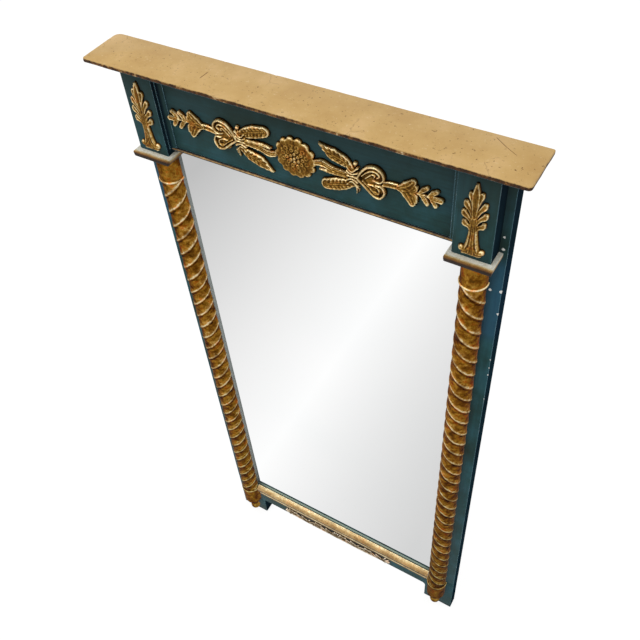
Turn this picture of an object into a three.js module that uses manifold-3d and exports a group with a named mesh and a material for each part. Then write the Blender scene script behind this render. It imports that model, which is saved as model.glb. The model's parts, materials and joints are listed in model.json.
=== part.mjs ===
// Trumeau mirror: a painted and gilded wooden frame with spiral-carved half columns,
// a relief frieze between two blocks, a flat gilt cornice and sawn bracket feet.
// Millimetres, +Z up. The mirror faces -Y and its back lies in the plane y = 0.
// The origin is on the back of the top rail, at the height where the mirror hangs.
import * as THREE from 'three';
import { mergeGeometries, mergeVertices } from 'three/addons/utils/BufferGeometryUtils.js';
import Module from 'manifold-3d';

const wasm = await Module();
wasm.setup();

// ---- driving dimensions -----------------------------------------------------------

// frame of boards
const TOTAL_HEIGHT = 1016;
const FRAME_WIDTH = 459;
const BOARD_THICKNESS = 19;
const STILE_WIDTH = 44.5;
const TOP_RAIL_HEIGHT = 100;
const BASE_BOARD_HEIGHT = 102;
const FOOT_WIDTH = 53;
const FOOT_HEIGHT = 46;
const ARCH_CORNER_RADIUS = 7;

// joinery
const TENON_THICKNESS = 7;
const STILE_TENON_WIDTH = 24;
const STILE_TENON_LENGTH = 25;
const RAIL_TENON_HEIGHT = 60;
const RAIL_TENON_LENGTH = 20;
const MORTISE_CLEARANCE = 0.3;

// glass and back boards, in a rebate cut from behind
const REBATE_WIDTH = 7;
const REBATE_DEPTH = 10;
const GLASS_THICKNESS = 4;
const GLASS_CLEARANCE = 0.8;
const PLANK_THICKNESS = 4.5;
const PLANK_COUNT = 3;
const PLANK_GAP = 0.6;

// cornice
const CORNICE_THICKNESS = 5.5;
const CORNICE_DEPTH = 59;
const CORNICE_OVERHANG = 22;
const CORNICE_CORNER_RADIUS = 5;
const CORNICE_ARRIS = 1.2;
const BED_THICKNESS = 10.5;
const BED_INSET = 5;
const BED_COVE_RADIUS = 8;

// frieze
const FRIEZE_PROJECTION = 10.5;
const FRIEZE_BEAD_HEIGHT = 4.5;
const FRIEZE_BEAD_PROJECTION = 12.5;
const FRIEZE_COVE_WIDTH = 6.5;
const FRIEZE_COVE_LIP = 0.8;

// blocks over the columns
const BLOCK_WIDTH = 42;
const BLOCK_HEIGHT = 103.3;
const BLOCK_PROJECTION = 21.4;
const BLOCK_MARGIN = 9;

// capitals
const CAPITAL_THICKNESS = 7;
const CAPITAL_SIDE_OVERHANG = 4.5;
const CAPITAL_FRONT_OVERHANG = 9;
const CAPITAL_SPLAY = 2.2;

// columns
const COLUMN_AXIS_PROJECTION = 3.6;
const SHAFT_TOP_RADIUS = 15;
const SHAFT_BOTTOM_RADIUS = 15.8;
const TWIST_STRANDS = 3;
const TWIST_LEAD = 74.8;
const TWIST_START_LEFT = -20;
const TWIST_START_RIGHT = 50;
const POINTS_PER_STRAND = 4;
const GROOVE_DEPTH = 1.5;
const NECK_LENGTH = 41.7;
const RING_HEIGHT = 3.8;
const RING_PROJECTION = 1.4;
const DRUM_RADIUS = 16.2;
const DRUM_LENGTH = 41;
const BOWL_DEPTH = 12.6;
const BOWL_MOUTH_RADIUS = 7;
const KNOB_RADIUS = 9;
const KNOB_STEM_RADIUS = 6.5;
const KNOB_STEM_LENGTH = 12;
const KNOB_FLOOR_GAP = 9.5;

// mouldings of the base board
const BASE_BEAD_HEIGHT = 17;
const BASE_BEAD_PROJECTION = 8;
const BASE_FILLET_HEIGHT = 4;
const BASE_FILLET_PROJECTION = 2;
const BASE_FILLET_DROP = 9.5;
const MOULDING_END_CLEARANCE = 0.3;

// relief ornament, glued on
const ORNAMENT_SHIFT = -4;
const ORNAMENT_HEIGHT_ON_FRIEZE = 41.5;
const ORNAMENT_END_GAP = 0.5;
const ROSETTE_RADIUS = 24.5;
const ROSETTE_PETALS = 12;
const ROSETTE_RELIEF = 8;
const LEAF_RELIEF = 5;
const SCROLL_RELIEF = 6;
const STEM_RELIEF = 3.6;
const BERRY_RADIUS = 4;
const PIECE_CLEARANCE = 0.4;
const PALMETTE_HEIGHT = 83;
const PALMETTE_HALF_WIDTH = 12.5;
const PALMETTE_RELIEF = 4.5;
const PALMETTE_LOBES = 4;
const APRON_SCROLL_LENGTH = 226;
const APRON_SCROLL_MARGIN = 2.75;
const APRON_SCROLL_SHIFT = -9;
const APRON_SCROLL_WAVES = 3;
const APRON_RELIEF = 3.4;

// strap hangers, let into the back of the stiles
const HANGER_DROP = 120;
const POCKET_WIDTH = 26;
const POCKET_DEPTH = 6.5;
const POCKET_ABOVE = 20;
const POCKET_BELOW = 50;
const STRAP_WIDTH = 14;
const STRAP_LENGTH = 44;
const STRAP_THICKNESS = 1.2;
const STRAP_HOLE_RADIUS = 2.1;
const STRAP_HOLE_SPACING = 14;
const RING_WIRE_RADIUS = 1.2;
const RING_BORE_CLEARANCE = 0.1;
const RING_HALF_WIDTH = 9;
const RING_DROP = 14;

// ---- levels and places worked out from the driving dimensions ----------------------

const FRAME_HALF = FRAME_WIDTH / 2;
const OPENING_HALF = FRAME_HALF - STILE_WIDTH;
const FACE = -BOARD_THICKNESS;
const BED_TOP = TOTAL_HEIGHT - CORNICE_THICKNESS;
const FRAME_TOP = BED_TOP - BED_THICKNESS;
const OPENING_TOP = FRAME_TOP - TOP_RAIL_HEIGHT;
const OPENING_BOTTOM = BASE_BOARD_HEIGHT;
const HANGING_HEIGHT = FRAME_TOP - TOP_RAIL_HEIGHT / 2;
const COLUMN_X = FRAME_HALF - BLOCK_MARGIN - BLOCK_WIDTH / 2;
const BLOCK_INNER = COLUMN_X - BLOCK_WIDTH / 2;
const BLOCK_BOTTOM = FRAME_TOP - BLOCK_HEIGHT;
const CAPITAL_BOTTOM = BLOCK_BOTTOM - CAPITAL_THICKNESS;
const SHAFT_TOP = CAPITAL_BOTTOM - NECK_LENGTH;
const KNOB_TOP = KNOB_FLOOR_GAP + 2 * KNOB_RADIUS + KNOB_STEM_LENGTH;
const DRUM_BOTTOM = KNOB_TOP + BOWL_DEPTH;
const SHAFT_BOTTOM = DRUM_BOTTOM + DRUM_LENGTH + RING_HEIGHT;
const FRIEZE_BOTTOM = OPENING_TOP + FRIEZE_BEAD_HEIGHT;
const FRIEZE_FACE = FACE - FRIEZE_PROJECTION;
const HANGER_X = (FRAME_HALF + OPENING_HALF + REBATE_WIDTH) / 2;
const HANGER_Z = FRAME_TOP - HANGER_DROP;
const BASE_RING_RADIUS = DRUM_RADIUS + RING_PROJECTION;
const MOULDING_HALF = COLUMN_X - BASE_RING_RADIUS - MOULDING_END_CLEARANCE;
const BASE_BEAD_BOTTOM = BASE_BOARD_HEIGHT - BASE_BEAD_HEIGHT + 1;
const BASE_FILLET_TOP = BASE_BEAD_BOTTOM - BASE_FILLET_DROP;

// ---- materials ----------------------------------------------------------------------

function finish(color, roughness, metalness = 0) {
  return new THREE.MeshStandardMaterial({ color, roughness, metalness });
}
const tealPaint = finish('#2c4a52', 0.55);
const wornGilding = finish('#a8762c', 0.45, 0.35);
const paleGilding = finish('#cfa96c', 0.5, 0.2);
const gessoAndGilding = finish('#d8cba6', 0.6, 0.1);
const silveredGlass = finish('#c9cccd', 0.03, 1);
const bareWood = finish('#8a6a46', 0.75);
const zincSteel = finish('#a9abab', 0.4, 0.9);

// ---- solids -----------------------------------------------------------------------

function solid(geometry) {
  const bare = geometry.index ? geometry.clone() : mergeVertices(geometry.clone());
  bare.deleteAttribute('normal');
  bare.deleteAttribute('uv');
  const welded = mergeVertices(bare, 1e-4);
  return new wasm.Manifold(new wasm.Mesh({
    numProp: 3,
    vertProperties: new Float32Array(welded.attributes.position.array),
    triVerts: new Uint32Array(welded.index.array),
  }));
}

function geometryOf(body) {
  const { vertProperties, triVerts, numProp } = body.getMesh();
  const geometry = new THREE.BufferGeometry();
  const positions = new Float32Array(vertProperties.length / numProp * 3);
  for (let i = 0; i < positions.length / 3; i += 1) {
    for (let axis = 0; axis < 3; axis += 1) {
      positions[3 * i + axis] = vertProperties[numProp * i + axis];
    }
  }
  geometry.setAttribute('position', new THREE.BufferAttribute(positions, 3));
  geometry.setIndex(new THREE.BufferAttribute(new Uint32Array(triVerts), 1));
  geometry.computeVertexNormals();
  return geometry;
}

function join(bodies) {
  return bodies.reduce((whole, body) => whole.add(body));
}

// an axis-aligned board between two corners
function board(x0, x1, y0, y1, z0, z1) {
  const geometry = new THREE.BoxGeometry(x1 - x0, y1 - y0, z1 - z0);
  return geometry.translate((x0 + x1) / 2, (y0 + y1) / 2, (z0 + z1) / 2);
}

// everything in front of the plane y = face
function inFrontOf(face) {
  const reach = TOTAL_HEIGHT + FRAME_WIDTH;
  return solid(board(-reach, reach, face - reach, face, -reach, reach));
}

// a flat outline in X and Z, drawn with x and y, made as thick as relief towards -Y
function extrudeForward(shape, relief, face, curveSegments = 5) {
  const geometry = new THREE.ExtrudeGeometry(shape, {
    depth: relief,
    bevelEnabled: false,
    curveSegments,
  });
  return geometry.rotateX(Math.PI / 2).translate(0, face, 0);
}

// an outline in X and Z with a rounded front edge, as moulded ornament has
function pillow(shape, relief, round, face, curveSegments = 4) {
  const geometry = new THREE.ExtrudeGeometry(shape, {
    depth: relief - 0.1,
    bevelThickness: round,
    bevelSize: round,
    bevelOffset: -round,
    bevelSegments: 1,
    curveSegments,
  });
  geometry.translate(0, 0, -round);
  return solid(geometry.rotateX(Math.PI / 2).translate(0, face, 0));
}

// a smooth closed outline through a few points, mirrored for the left-hand pieces
function smoothOutline(points, side = 1) {
  const curve = new THREE.SplineCurve(points.concat([points[0]]).map(([x, z]) => (
    new THREE.Vector2(side * x, z)
  )));
  return new THREE.Shape(curve.getPoints(points.length * 2).slice(0, -1));
}

// a ribbon of even or tapering width along a smooth line
function ribbon(points, startWidth, endWidth, side = 1, steps = 12) {
  const curve = new THREE.SplineCurve(points.map(([x, z]) => new THREE.Vector2(side * x, z)));
  const left = [];
  const right = [];
  for (let i = 0; i <= steps; i += 1) {
    const at = curve.getPoint(i / steps);
    const along = curve.getTangent(i / steps);
    const half = THREE.MathUtils.lerp(startWidth, endWidth, i / steps) / 2;
    left.push(new THREE.Vector2(at.x - along.y * half, at.y + along.x * half));
    right.unshift(new THREE.Vector2(at.x + along.y * half, at.y - along.x * half));
  }
  return new THREE.Shape(left.concat(right));
}

// a low dome on the face, such as a berry or a boss
function dome(x, z, radiusX, radiusZ, relief, face) {
  const geometry = new THREE.SphereGeometry(1, 8, 4);
  geometry.scale(radiusX, relief, radiusZ).translate(x, face, z);
  return solid(geometry);
}

function mesh(name, geometry, material) {
  const piece = new THREE.Mesh(geometry, material);
  piece.name = name;
  return piece;
}

const sides = [
  { word: 'left', side: -1 },
  { word: 'right', side: 1 },
];

// ---- the frame of boards ----------------------------------------------------------

function rebatePocket() {
  return solid(board(
    -OPENING_HALF - REBATE_WIDTH, OPENING_HALF + REBATE_WIDTH,
    -REBATE_DEPTH, 1,
    OPENING_BOTTOM - REBATE_WIDTH, OPENING_TOP + REBATE_WIDTH,
  ));
}

function stileTenon(side, clearance) {
  const middle = side * (FRAME_HALF - STILE_WIDTH / 2);
  const half = STILE_TENON_WIDTH / 2 + clearance;
  const back = (FACE + TENON_THICKNESS) / 2;
  return solid(board(
    middle - half, middle + half,
    back - TENON_THICKNESS - clearance, back + clearance,
    BASE_BOARD_HEIGHT - STILE_TENON_LENGTH - clearance, BASE_BOARD_HEIGHT + 1,
  ));
}

function railTenon(side, clearance) {
  const start = OPENING_HALF - 1;
  const end = OPENING_HALF + RAIL_TENON_LENGTH + clearance;
  const middle = FRAME_TOP - TOP_RAIL_HEIGHT / 2;
  const half = RAIL_TENON_HEIGHT / 2 + clearance;
  const back = (FACE + TENON_THICKNESS) / 2;
  return solid(board(
    Math.min(side * start, side * end), Math.max(side * start, side * end),
    back - TENON_THICKNESS - clearance, back + clearance,
    middle - half, middle + half,
  ));
}

// shallow pocket for a hanger, so that the mirror lies flat on the wall
function hangerPocket(side) {
  const x = side * HANGER_X;
  return solid(board(
    x - POCKET_WIDTH / 2, x + POCKET_WIDTH / 2,
    -POCKET_DEPTH, 1,
    HANGER_Z - POCKET_BELOW, HANGER_Z + POCKET_ABOVE,
  ));
}

function stile(side) {
  const outer = side * FRAME_HALF;
  const inner = side * OPENING_HALF;
  return solid(board(
    Math.min(outer, inner), Math.max(outer, inner), FACE, 0, BASE_BOARD_HEIGHT, FRAME_TOP,
  ))
    .subtract(rebatePocket())
    .subtract(railTenon(side, MORTISE_CLEARANCE))
    .subtract(hangerPocket(side))
    .add(stileTenon(side, 0));
}

function topRail() {
  return solid(board(-OPENING_HALF, OPENING_HALF, FACE, 0, OPENING_TOP, FRAME_TOP))
    .subtract(rebatePocket())
    .add(railTenon(-1, 0))
    .add(railTenon(1, 0));
}

// the full-width board below the glass, with its two feet sawn out of it
function baseBoard() {
  const archHalf = FRAME_HALF - FOOT_WIDTH;
  const outline = new THREE.Shape();
  outline.moveTo(-FRAME_HALF, 0);
  outline.lineTo(-archHalf, 0);
  outline.lineTo(-archHalf, FOOT_HEIGHT - ARCH_CORNER_RADIUS);
  outline.absarc(
    -archHalf + ARCH_CORNER_RADIUS, FOOT_HEIGHT - ARCH_CORNER_RADIUS,
    ARCH_CORNER_RADIUS, Math.PI, Math.PI / 2, true,
  );
  outline.absarc(
    archHalf - ARCH_CORNER_RADIUS, FOOT_HEIGHT - ARCH_CORNER_RADIUS,
    ARCH_CORNER_RADIUS, Math.PI / 2, 0, true,
  );
  outline.lineTo(archHalf, 0);
  outline.lineTo(FRAME_HALF, 0);
  outline.lineTo(FRAME_HALF, BASE_BOARD_HEIGHT);
  outline.lineTo(-FRAME_HALF, BASE_BOARD_HEIGHT);
  return solid(extrudeForward(outline, BOARD_THICKNESS, 0))
    .subtract(rebatePocket())
    .subtract(stileTenon(-1, MORTISE_CLEARANCE))
    .subtract(stileTenon(1, MORTISE_CLEARANCE));
}

// ---- glass and back boards --------------------------------------------------------

function mirrorGlass() {
  const half = OPENING_HALF + REBATE_WIDTH - GLASS_CLEARANCE;
  const bottom = OPENING_BOTTOM - REBATE_WIDTH + GLASS_CLEARANCE;
  const top = OPENING_TOP + REBATE_WIDTH - GLASS_CLEARANCE;
  return board(-half, half, -REBATE_DEPTH, -REBATE_DEPTH + GLASS_THICKNESS, bottom, top);
}

function backPlank(index) {
  const half = OPENING_HALF + REBATE_WIDTH - GLASS_CLEARANCE;
  const pitch = 2 * half / PLANK_COUNT;
  const start = -half + index * pitch;
  const front = -REBATE_DEPTH + GLASS_THICKNESS;
  return board(
    start + PLANK_GAP / 2, start + pitch - PLANK_GAP / 2,
    front, front + PLANK_THICKNESS,
    OPENING_BOTTOM - REBATE_WIDTH + GLASS_CLEARANCE,
    OPENING_TOP + REBATE_WIDTH - GLASS_CLEARANCE,
  );
}

// ---- cornice ----------------------------------------------------------------------

// a thin board whose corners and arrises are worn round
function corniceBoard() {
  const half = FRAME_HALF + CORNICE_OVERHANG - CORNICE_ARRIS;
  const front = -CORNICE_DEPTH + CORNICE_ARRIS;
  const back = -CORNICE_ARRIS;
  const r = CORNICE_CORNER_RADIUS - CORNICE_ARRIS;
  const outline = new THREE.Shape();
  outline.absarc(half - r, front + r, r, -Math.PI / 2, 0);
  outline.absarc(half - r, back - r, r, 0, Math.PI / 2);
  outline.absarc(-half + r, back - r, r, Math.PI / 2, Math.PI);
  outline.absarc(-half + r, front + r, r, Math.PI, 3 * Math.PI / 2);
  const geometry = new THREE.ExtrudeGeometry(outline, {
    depth: CORNICE_THICKNESS - 2 * CORNICE_ARRIS,
    bevelThickness: CORNICE_ARRIS,
    bevelSize: CORNICE_ARRIS,
    bevelSegments: 2,
    curveSegments: 3,
  });
  return geometry.translate(0, 0, BED_TOP + CORNICE_ARRIS);
}

// the board under it, hollowed along its front and ends
function corniceBed() {
  const half = FRAME_HALF + CORNICE_OVERHANG - BED_INSET;
  const front = -CORNICE_DEPTH + BED_INSET;
  const frontCove = new THREE.CylinderGeometry(
    BED_COVE_RADIUS, BED_COVE_RADIUS, 3 * half, 28,
  );
  const endCove = new THREE.CylinderGeometry(
    BED_COVE_RADIUS, BED_COVE_RADIUS, 4 * CORNICE_DEPTH, 28,
  );
  return solid(board(-half, half, front, 0, FRAME_TOP, BED_TOP))
    .subtract(solid(frontCove.rotateZ(Math.PI / 2).translate(0, front, FRAME_TOP)))
    .subtract(solid(endCove.clone().translate(half, 0, FRAME_TOP)))
    .subtract(solid(endCove.translate(-half, 0, FRAME_TOP)));
}

// ---- frieze and blocks ------------------------------------------------------------

function friezeBoard() {
  return board(-BLOCK_INNER, BLOCK_INNER, FRIEZE_FACE, FACE, FRIEZE_BOTTOM, FRAME_TOP);
}

// gilt strip under the frieze, with a rounded front
function friezeBead() {
  const profile = new THREE.Shape();
  const half = FRIEZE_BEAD_HEIGHT / 2;
  const nose = FRIEZE_BEAD_PROJECTION - half;
  profile.moveTo(0, 0);
  profile.lineTo(nose, 0);
  profile.absarc(nose, half, half, -Math.PI / 2, Math.PI / 2);
  profile.lineTo(0, FRIEZE_BEAD_HEIGHT);
  return alongX(profile, -BLOCK_INNER, BLOCK_INNER, FACE, OPENING_TOP);
}

// a moulding: its profile is drawn as distance in front of the face, and height
function alongX(profile, x0, x1, face, z, curveSegments = 4) {
  const geometry = new THREE.ExtrudeGeometry(profile, {
    depth: x1 - x0,
    bevelEnabled: false,
    curveSegments,
  });
  return geometry.applyMatrix4(new THREE.Matrix4().set(
    0, 0, -1, x1,
    -1, 0, 0, face,
    0, 1, 0, z,
    0, 0, 0, 1,
  ));
}

// hollow moulding in the corner between the frieze and a block
function friezeCove(side) {
  const w = FRIEZE_COVE_WIDTH;
  const r = w - FRIEZE_COVE_LIP;
  const section = new THREE.Shape();
  section.moveTo(side * BLOCK_INNER, FRIEZE_FACE);
  section.lineTo(side * BLOCK_INNER, FRIEZE_FACE - w);
  for (let i = 0; i <= 5; i += 1) {
    const turn = Math.PI / 2 * i / 5;
    section.lineTo(
      side * (BLOCK_INNER - w + r * Math.cos(turn)),
      FRIEZE_FACE - w + r * Math.sin(turn),
    );
  }
  section.lineTo(side * (BLOCK_INNER - w), FRIEZE_FACE);
  const foot = Math.max(FRIEZE_BOTTOM, BLOCK_BOTTOM);
  return new THREE.ExtrudeGeometry(section, {
    depth: FRAME_TOP - foot,
    bevelEnabled: false,
  }).translate(0, 0, foot);
}

function block(side) {
  const x = side * COLUMN_X;
  return board(
    x - BLOCK_WIDTH / 2, x + BLOCK_WIDTH / 2,
    FACE - BLOCK_PROJECTION, FACE,
    BLOCK_BOTTOM, FRAME_TOP,
  );
}

// square capital whose underside splays in towards the neck
function capital(side) {
  const width = BLOCK_WIDTH + 2 * CAPITAL_SIDE_OVERHANG;
  const depth = BLOCK_PROJECTION + CAPITAL_FRONT_OVERHANG;
  const geometry = new THREE.BoxGeometry(width, depth, CAPITAL_THICKNESS, 1, 1, 2);
  const position = geometry.attributes.position;
  for (let i = 0; i < position.count; i += 1) {
    if (position.getZ(i) < -CAPITAL_THICKNESS / 4) {
      position.setX(i, position.getX(i) - Math.sign(position.getX(i)) * CAPITAL_SPLAY);
      if (position.getY(i) < 0) {
        position.setY(i, position.getY(i) + CAPITAL_SPLAY);
      }
    }
  }
  return geometry.translate(
    side * COLUMN_X, FACE - depth / 2, CAPITAL_BOTTOM + CAPITAL_THICKNESS / 2,
  );
}

// ---- half columns -----------------------------------------------------------------

const COLUMN_Y = FACE - COLUMN_AXIS_PROJECTION;

// a turned piece on the column's axis, sawn flat where it meets the frame
function turned(side, profile, segments = 24) {
  const points = profile.map(([r, z]) => new THREE.Vector2(r, z));
  const geometry = new THREE.LatheGeometry(points, segments);
  geometry.rotateX(Math.PI / 2).translate(side * COLUMN_X, COLUMN_Y, 0);
  return solid(geometry).intersect(inFrontOf(FACE));
}

// radius of the carved strands round the shaft, as a share of the turned radius
function strandRadius(angle, radius) {
  const swell = Math.abs(Math.cos(TWIST_STRANDS * angle / 2));
  return radius - GROOVE_DEPTH * (1 - Math.sqrt(swell));
}

// the spiral-carved shaft of the left column: a lobed section, twisted as it rises from a
// start in degrees
function leftShaft(start) {
  const count = TWIST_STRANDS * POINTS_PER_STRAND;
  const length = SHAFT_TOP - SHAFT_BOTTOM;
  const section = [];
  for (let i = 0; i < count; i += 1) {
    const angle = 2 * Math.PI * i / count;
    section.push(new THREE.Vector2(Math.cos(angle), Math.sin(angle)));
  }
  const geometry = new THREE.ExtrudeGeometry(new THREE.Shape(section), {
    depth: length,
    steps: Math.round(length / TWIST_LEAD * count),
    bevelEnabled: false,
  });
  const position = geometry.attributes.position;
  for (let i = 0; i < position.count; i += 1) {
    const angle = Math.atan2(position.getY(i), position.getX(i));
    const z = position.getZ(i);
    const taper = THREE.MathUtils.lerp(SHAFT_BOTTOM_RADIUS, SHAFT_TOP_RADIUS, z / length);
    const radius = strandRadius(angle, taper);
    const twisted = angle + 2 * Math.PI * z / TWIST_LEAD + THREE.MathUtils.degToRad(start);
    position.setXY(i, radius * Math.cos(twisted), radius * Math.sin(twisted));
  }
  geometry.translate(-COLUMN_X, COLUMN_Y, SHAFT_BOTTOM);
  return geometryOf(solid(geometry).intersect(inFrontOf(FACE)));
}

// the same piece on the other side of the mirror
function mirrored(geometry) {
  const copy = geometry.clone().scale(-1, 1, 1);
  const corners = copy.index.array;
  for (let i = 0; i < corners.length; i += 3) {
    [corners[i], corners[i + 1]] = [corners[i + 1], corners[i]];
  }
  copy.computeVertexNormals();
  return copy;
}

function columnShaft(side) {
  return side < 0 ? leftShaft(TWIST_START_LEFT) : mirrored(leftShaft(TWIST_START_RIGHT));
}

// half-round swelling for a turned ring, from z upwards
function ringProfile(radius, z) {
  const points = [];
  for (let i = 0; i <= 4; i += 1) {
    const turn = Math.PI * i / 4;
    points.push([radius + RING_PROJECTION * Math.sin(turn), z + RING_HEIGHT * i / 4]);
  }
  return points;
}

function columnNeck(side) {
  return turned(side, [
    [0, SHAFT_TOP],
    ...ringProfile(SHAFT_TOP_RADIUS, SHAFT_TOP),
    [SHAFT_TOP_RADIUS, CAPITAL_BOTTOM],
    [0, CAPITAL_BOTTOM],
  ]);
}

// smooth drum that closes in a bowl below
function columnBase(side) {
  const bowl = [];
  const end = Math.acos(BOWL_MOUTH_RADIUS / DRUM_RADIUS);
  for (let i = 0; i <= 5; i += 1) {
    const turn = end * (1 - i / 5);
    const drop = BOWL_DEPTH * Math.sin(turn) / Math.sin(end);
    bowl.push([DRUM_RADIUS * Math.cos(turn), DRUM_BOTTOM - drop]);
  }
  return turned(side, [
    [0, KNOB_TOP],
    ...bowl,
    ...ringProfile(DRUM_RADIUS, DRUM_BOTTOM + DRUM_LENGTH),
    [0, SHAFT_BOTTOM],
  ]);
}

function dropKnob(side) {
  const centre = KNOB_FLOOR_GAP + KNOB_RADIUS;
  const stemTurn = Math.acos(KNOB_STEM_RADIUS / KNOB_RADIUS);
  const ball = [];
  for (let i = 1; i <= 6; i += 1) {
    const turn = THREE.MathUtils.lerp(-Math.PI / 2, stemTurn, i / 6);
    ball.push([KNOB_RADIUS * Math.cos(turn), centre + KNOB_RADIUS * Math.sin(turn)]);
  }
  return turned(side, [
    [0, KNOB_FLOOR_GAP],
    ...ball,
    [KNOB_STEM_RADIUS, KNOB_TOP],
    [0, KNOB_TOP],
  ], 16);
}

// ---- mouldings of the base board --------------------------------------------------

function baseBead() {
  const profile = new THREE.Shape();
  const half = BASE_BEAD_HEIGHT / 2;
  profile.absellipse(0, half, BASE_BEAD_PROJECTION, half, -Math.PI / 2, Math.PI / 2);
  return alongX(profile, -MOULDING_HALF, MOULDING_HALF, FACE, BASE_BEAD_BOTTOM, 8);
}

function baseFillet() {
  const profile = new THREE.Shape();
  profile.moveTo(0, 0);
  profile.lineTo(BASE_FILLET_PROJECTION, 0);
  profile.lineTo(BASE_FILLET_PROJECTION, BASE_FILLET_HEIGHT - 0.8);
  profile.lineTo(BASE_FILLET_PROJECTION - 0.8, BASE_FILLET_HEIGHT);
  profile.lineTo(0, BASE_FILLET_HEIGHT);
  return alongX(
    profile, -MOULDING_HALF, MOULDING_HALF, FACE, BASE_FILLET_TOP - BASE_FILLET_HEIGHT,
  );
}

// ---- relief ornament --------------------------------------------------------------

const FRIEZE_MIDDLE = FRIEZE_BOTTOM + ORNAMENT_HEIGHT_ON_FRIEZE;
const ORNAMENT_HALF = BLOCK_INNER - FRIEZE_COVE_WIDTH - ORNAMENT_END_GAP - Math.abs(ORNAMENT_SHIFT);

// the frieze ornament is drawn 335 mm long, and stretched to the room between the blocks
const ORNAMENT_STRETCH = ORNAMENT_HALF / 167.5;

function place(body, face) {
  const stretched = body.intersect(inFrontOf(face)).scale([ORNAMENT_STRETCH, 1, ORNAMENT_STRETCH]);
  return geometryOf(stretched.translate([ORNAMENT_SHIFT, 0, FRIEZE_MIDDLE]));
}

// relief of the rosette at a distance from its middle and an angle: two rings of petals
// round a raised boss
function rosetteRelief(share, angle) {
  const outer = Math.abs(Math.cos(ROSETTE_PETALS * angle / 2));
  const inner = Math.abs(Math.sin(ROSETTE_PETALS * angle / 2));
  if (share > 0.6) {
    const rise = Math.sin(Math.PI * (1 - share) / 0.8 + 0.35);
    return ROSETTE_RELIEF * (0.3 + 0.42 * rise * (0.55 + 0.45 * outer));
  }
  if (share > 0.25) {
    return ROSETTE_RELIEF * (0.5 + 0.38 * Math.sin(Math.PI * (share - 0.25) / 0.35) * inner);
  }
  return ROSETTE_RELIEF * (0.62 + 0.38 * Math.cos(Math.PI * share / 0.5));
}

function rosette() {
  const around = ROSETTE_PETALS * 4;
  const rings = [1, 0.93, 0.8, 0.66, 0.55, 0.42, 0.28, 0.16];
  const positions = [0, 0, 0];
  const faces = [];
  const rim = (angle) => (
    ROSETTE_RADIUS * (0.9 + 0.1 * Math.sqrt(Math.abs(Math.cos(ROSETTE_PETALS * angle / 2))))
  );
  const addRing = (share, relief) => {
    for (let i = 0; i < around; i += 1) {
      const angle = 2 * Math.PI * i / around;
      const r = rim(angle) * share;
      positions.push(r * Math.cos(angle), r * Math.sin(angle), relief(share, angle));
    }
  };
  addRing(1, () => 0);
  rings.forEach((share) => addRing(share, rosetteRelief));
  const top = positions.length / 3;
  positions.push(0, 0, ROSETTE_RELIEF);
  const at = (ring, i) => 1 + ring * around + i % around;
  for (let i = 0; i < around; i += 1) {
    faces.push(0, at(0, i + 1), at(0, i));
    for (let ring = 0; ring < rings.length; ring += 1) {
      faces.push(at(ring, i), at(ring, i + 1), at(ring + 1, i + 1));
      faces.push(at(ring, i), at(ring + 1, i + 1), at(ring + 1, i));
    }
    faces.push(at(rings.length, i), at(rings.length, i + 1), top);
  }
  const geometry = new THREE.BufferGeometry();
  geometry.setAttribute('position', new THREE.Float32BufferAttribute(positions, 3));
  geometry.setIndex(faces);
  geometry.rotateX(Math.PI / 2).scale(ORNAMENT_STRETCH, 1, ORNAMENT_STRETCH);
  geometry.translate(ORNAMENT_SHIFT, FRIEZE_FACE, FRIEZE_MIDDLE);
  geometry.computeVertexNormals();
  return geometry;
}

// a husk and two wing leaves, bound by a knot with a small ball and a tassel
function wingLeaves(side) {
  const upperLeaf = smoothOutline([
    [31, 26], [45, 22.5], [60, 20], [68, 12], [66, 4], [52, 5], [40, 10], [35, 17],
  ], side);
  const lowerLeaf = smoothOutline([
    [32, -26], [34, -18], [42, -9], [55, -7], [67, -6], [66, -14], [57, -20], [45, -24],
  ], side);
  const root = ROSETTE_RADIUS + PIECE_CLEARANCE + 0.6;
  const husk = smoothOutline([
    [root, -1], [33, 5], [46, 4], [64, 3], [64, -3], [46, -6], [33, -6],
  ], side);
  const knot = smoothOutline([
    [64, 0], [66, 9], [71, 11], [73.5, 4], [73.5, -4], [71, -11], [66, -9],
  ], side);
  const tassel = smoothOutline([[70, -8], [74, -14], [74, -20], [71, -18], [69, -12]], side);
  return place(join([
    pillow(upperLeaf, LEAF_RELIEF, 1.8, FRIEZE_FACE),
    pillow(lowerLeaf, LEAF_RELIEF, 1.8, FRIEZE_FACE),
    pillow(husk, LEAF_RELIEF, 1.6, FRIEZE_FACE),
    pillow(knot, SCROLL_RELIEF, 1.8, FRIEZE_FACE),
    pillow(tassel, STEM_RELIEF, 0.8, FRIEZE_FACE),
    dome(side * 71, 15.5, 2.6, 3.4, STEM_RELIEF, FRIEZE_FACE),
    dome(side * 70.5, 11.5, 2.2, 3, STEM_RELIEF, FRIEZE_FACE),
  ]), FRIEZE_FACE);
}

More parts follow.
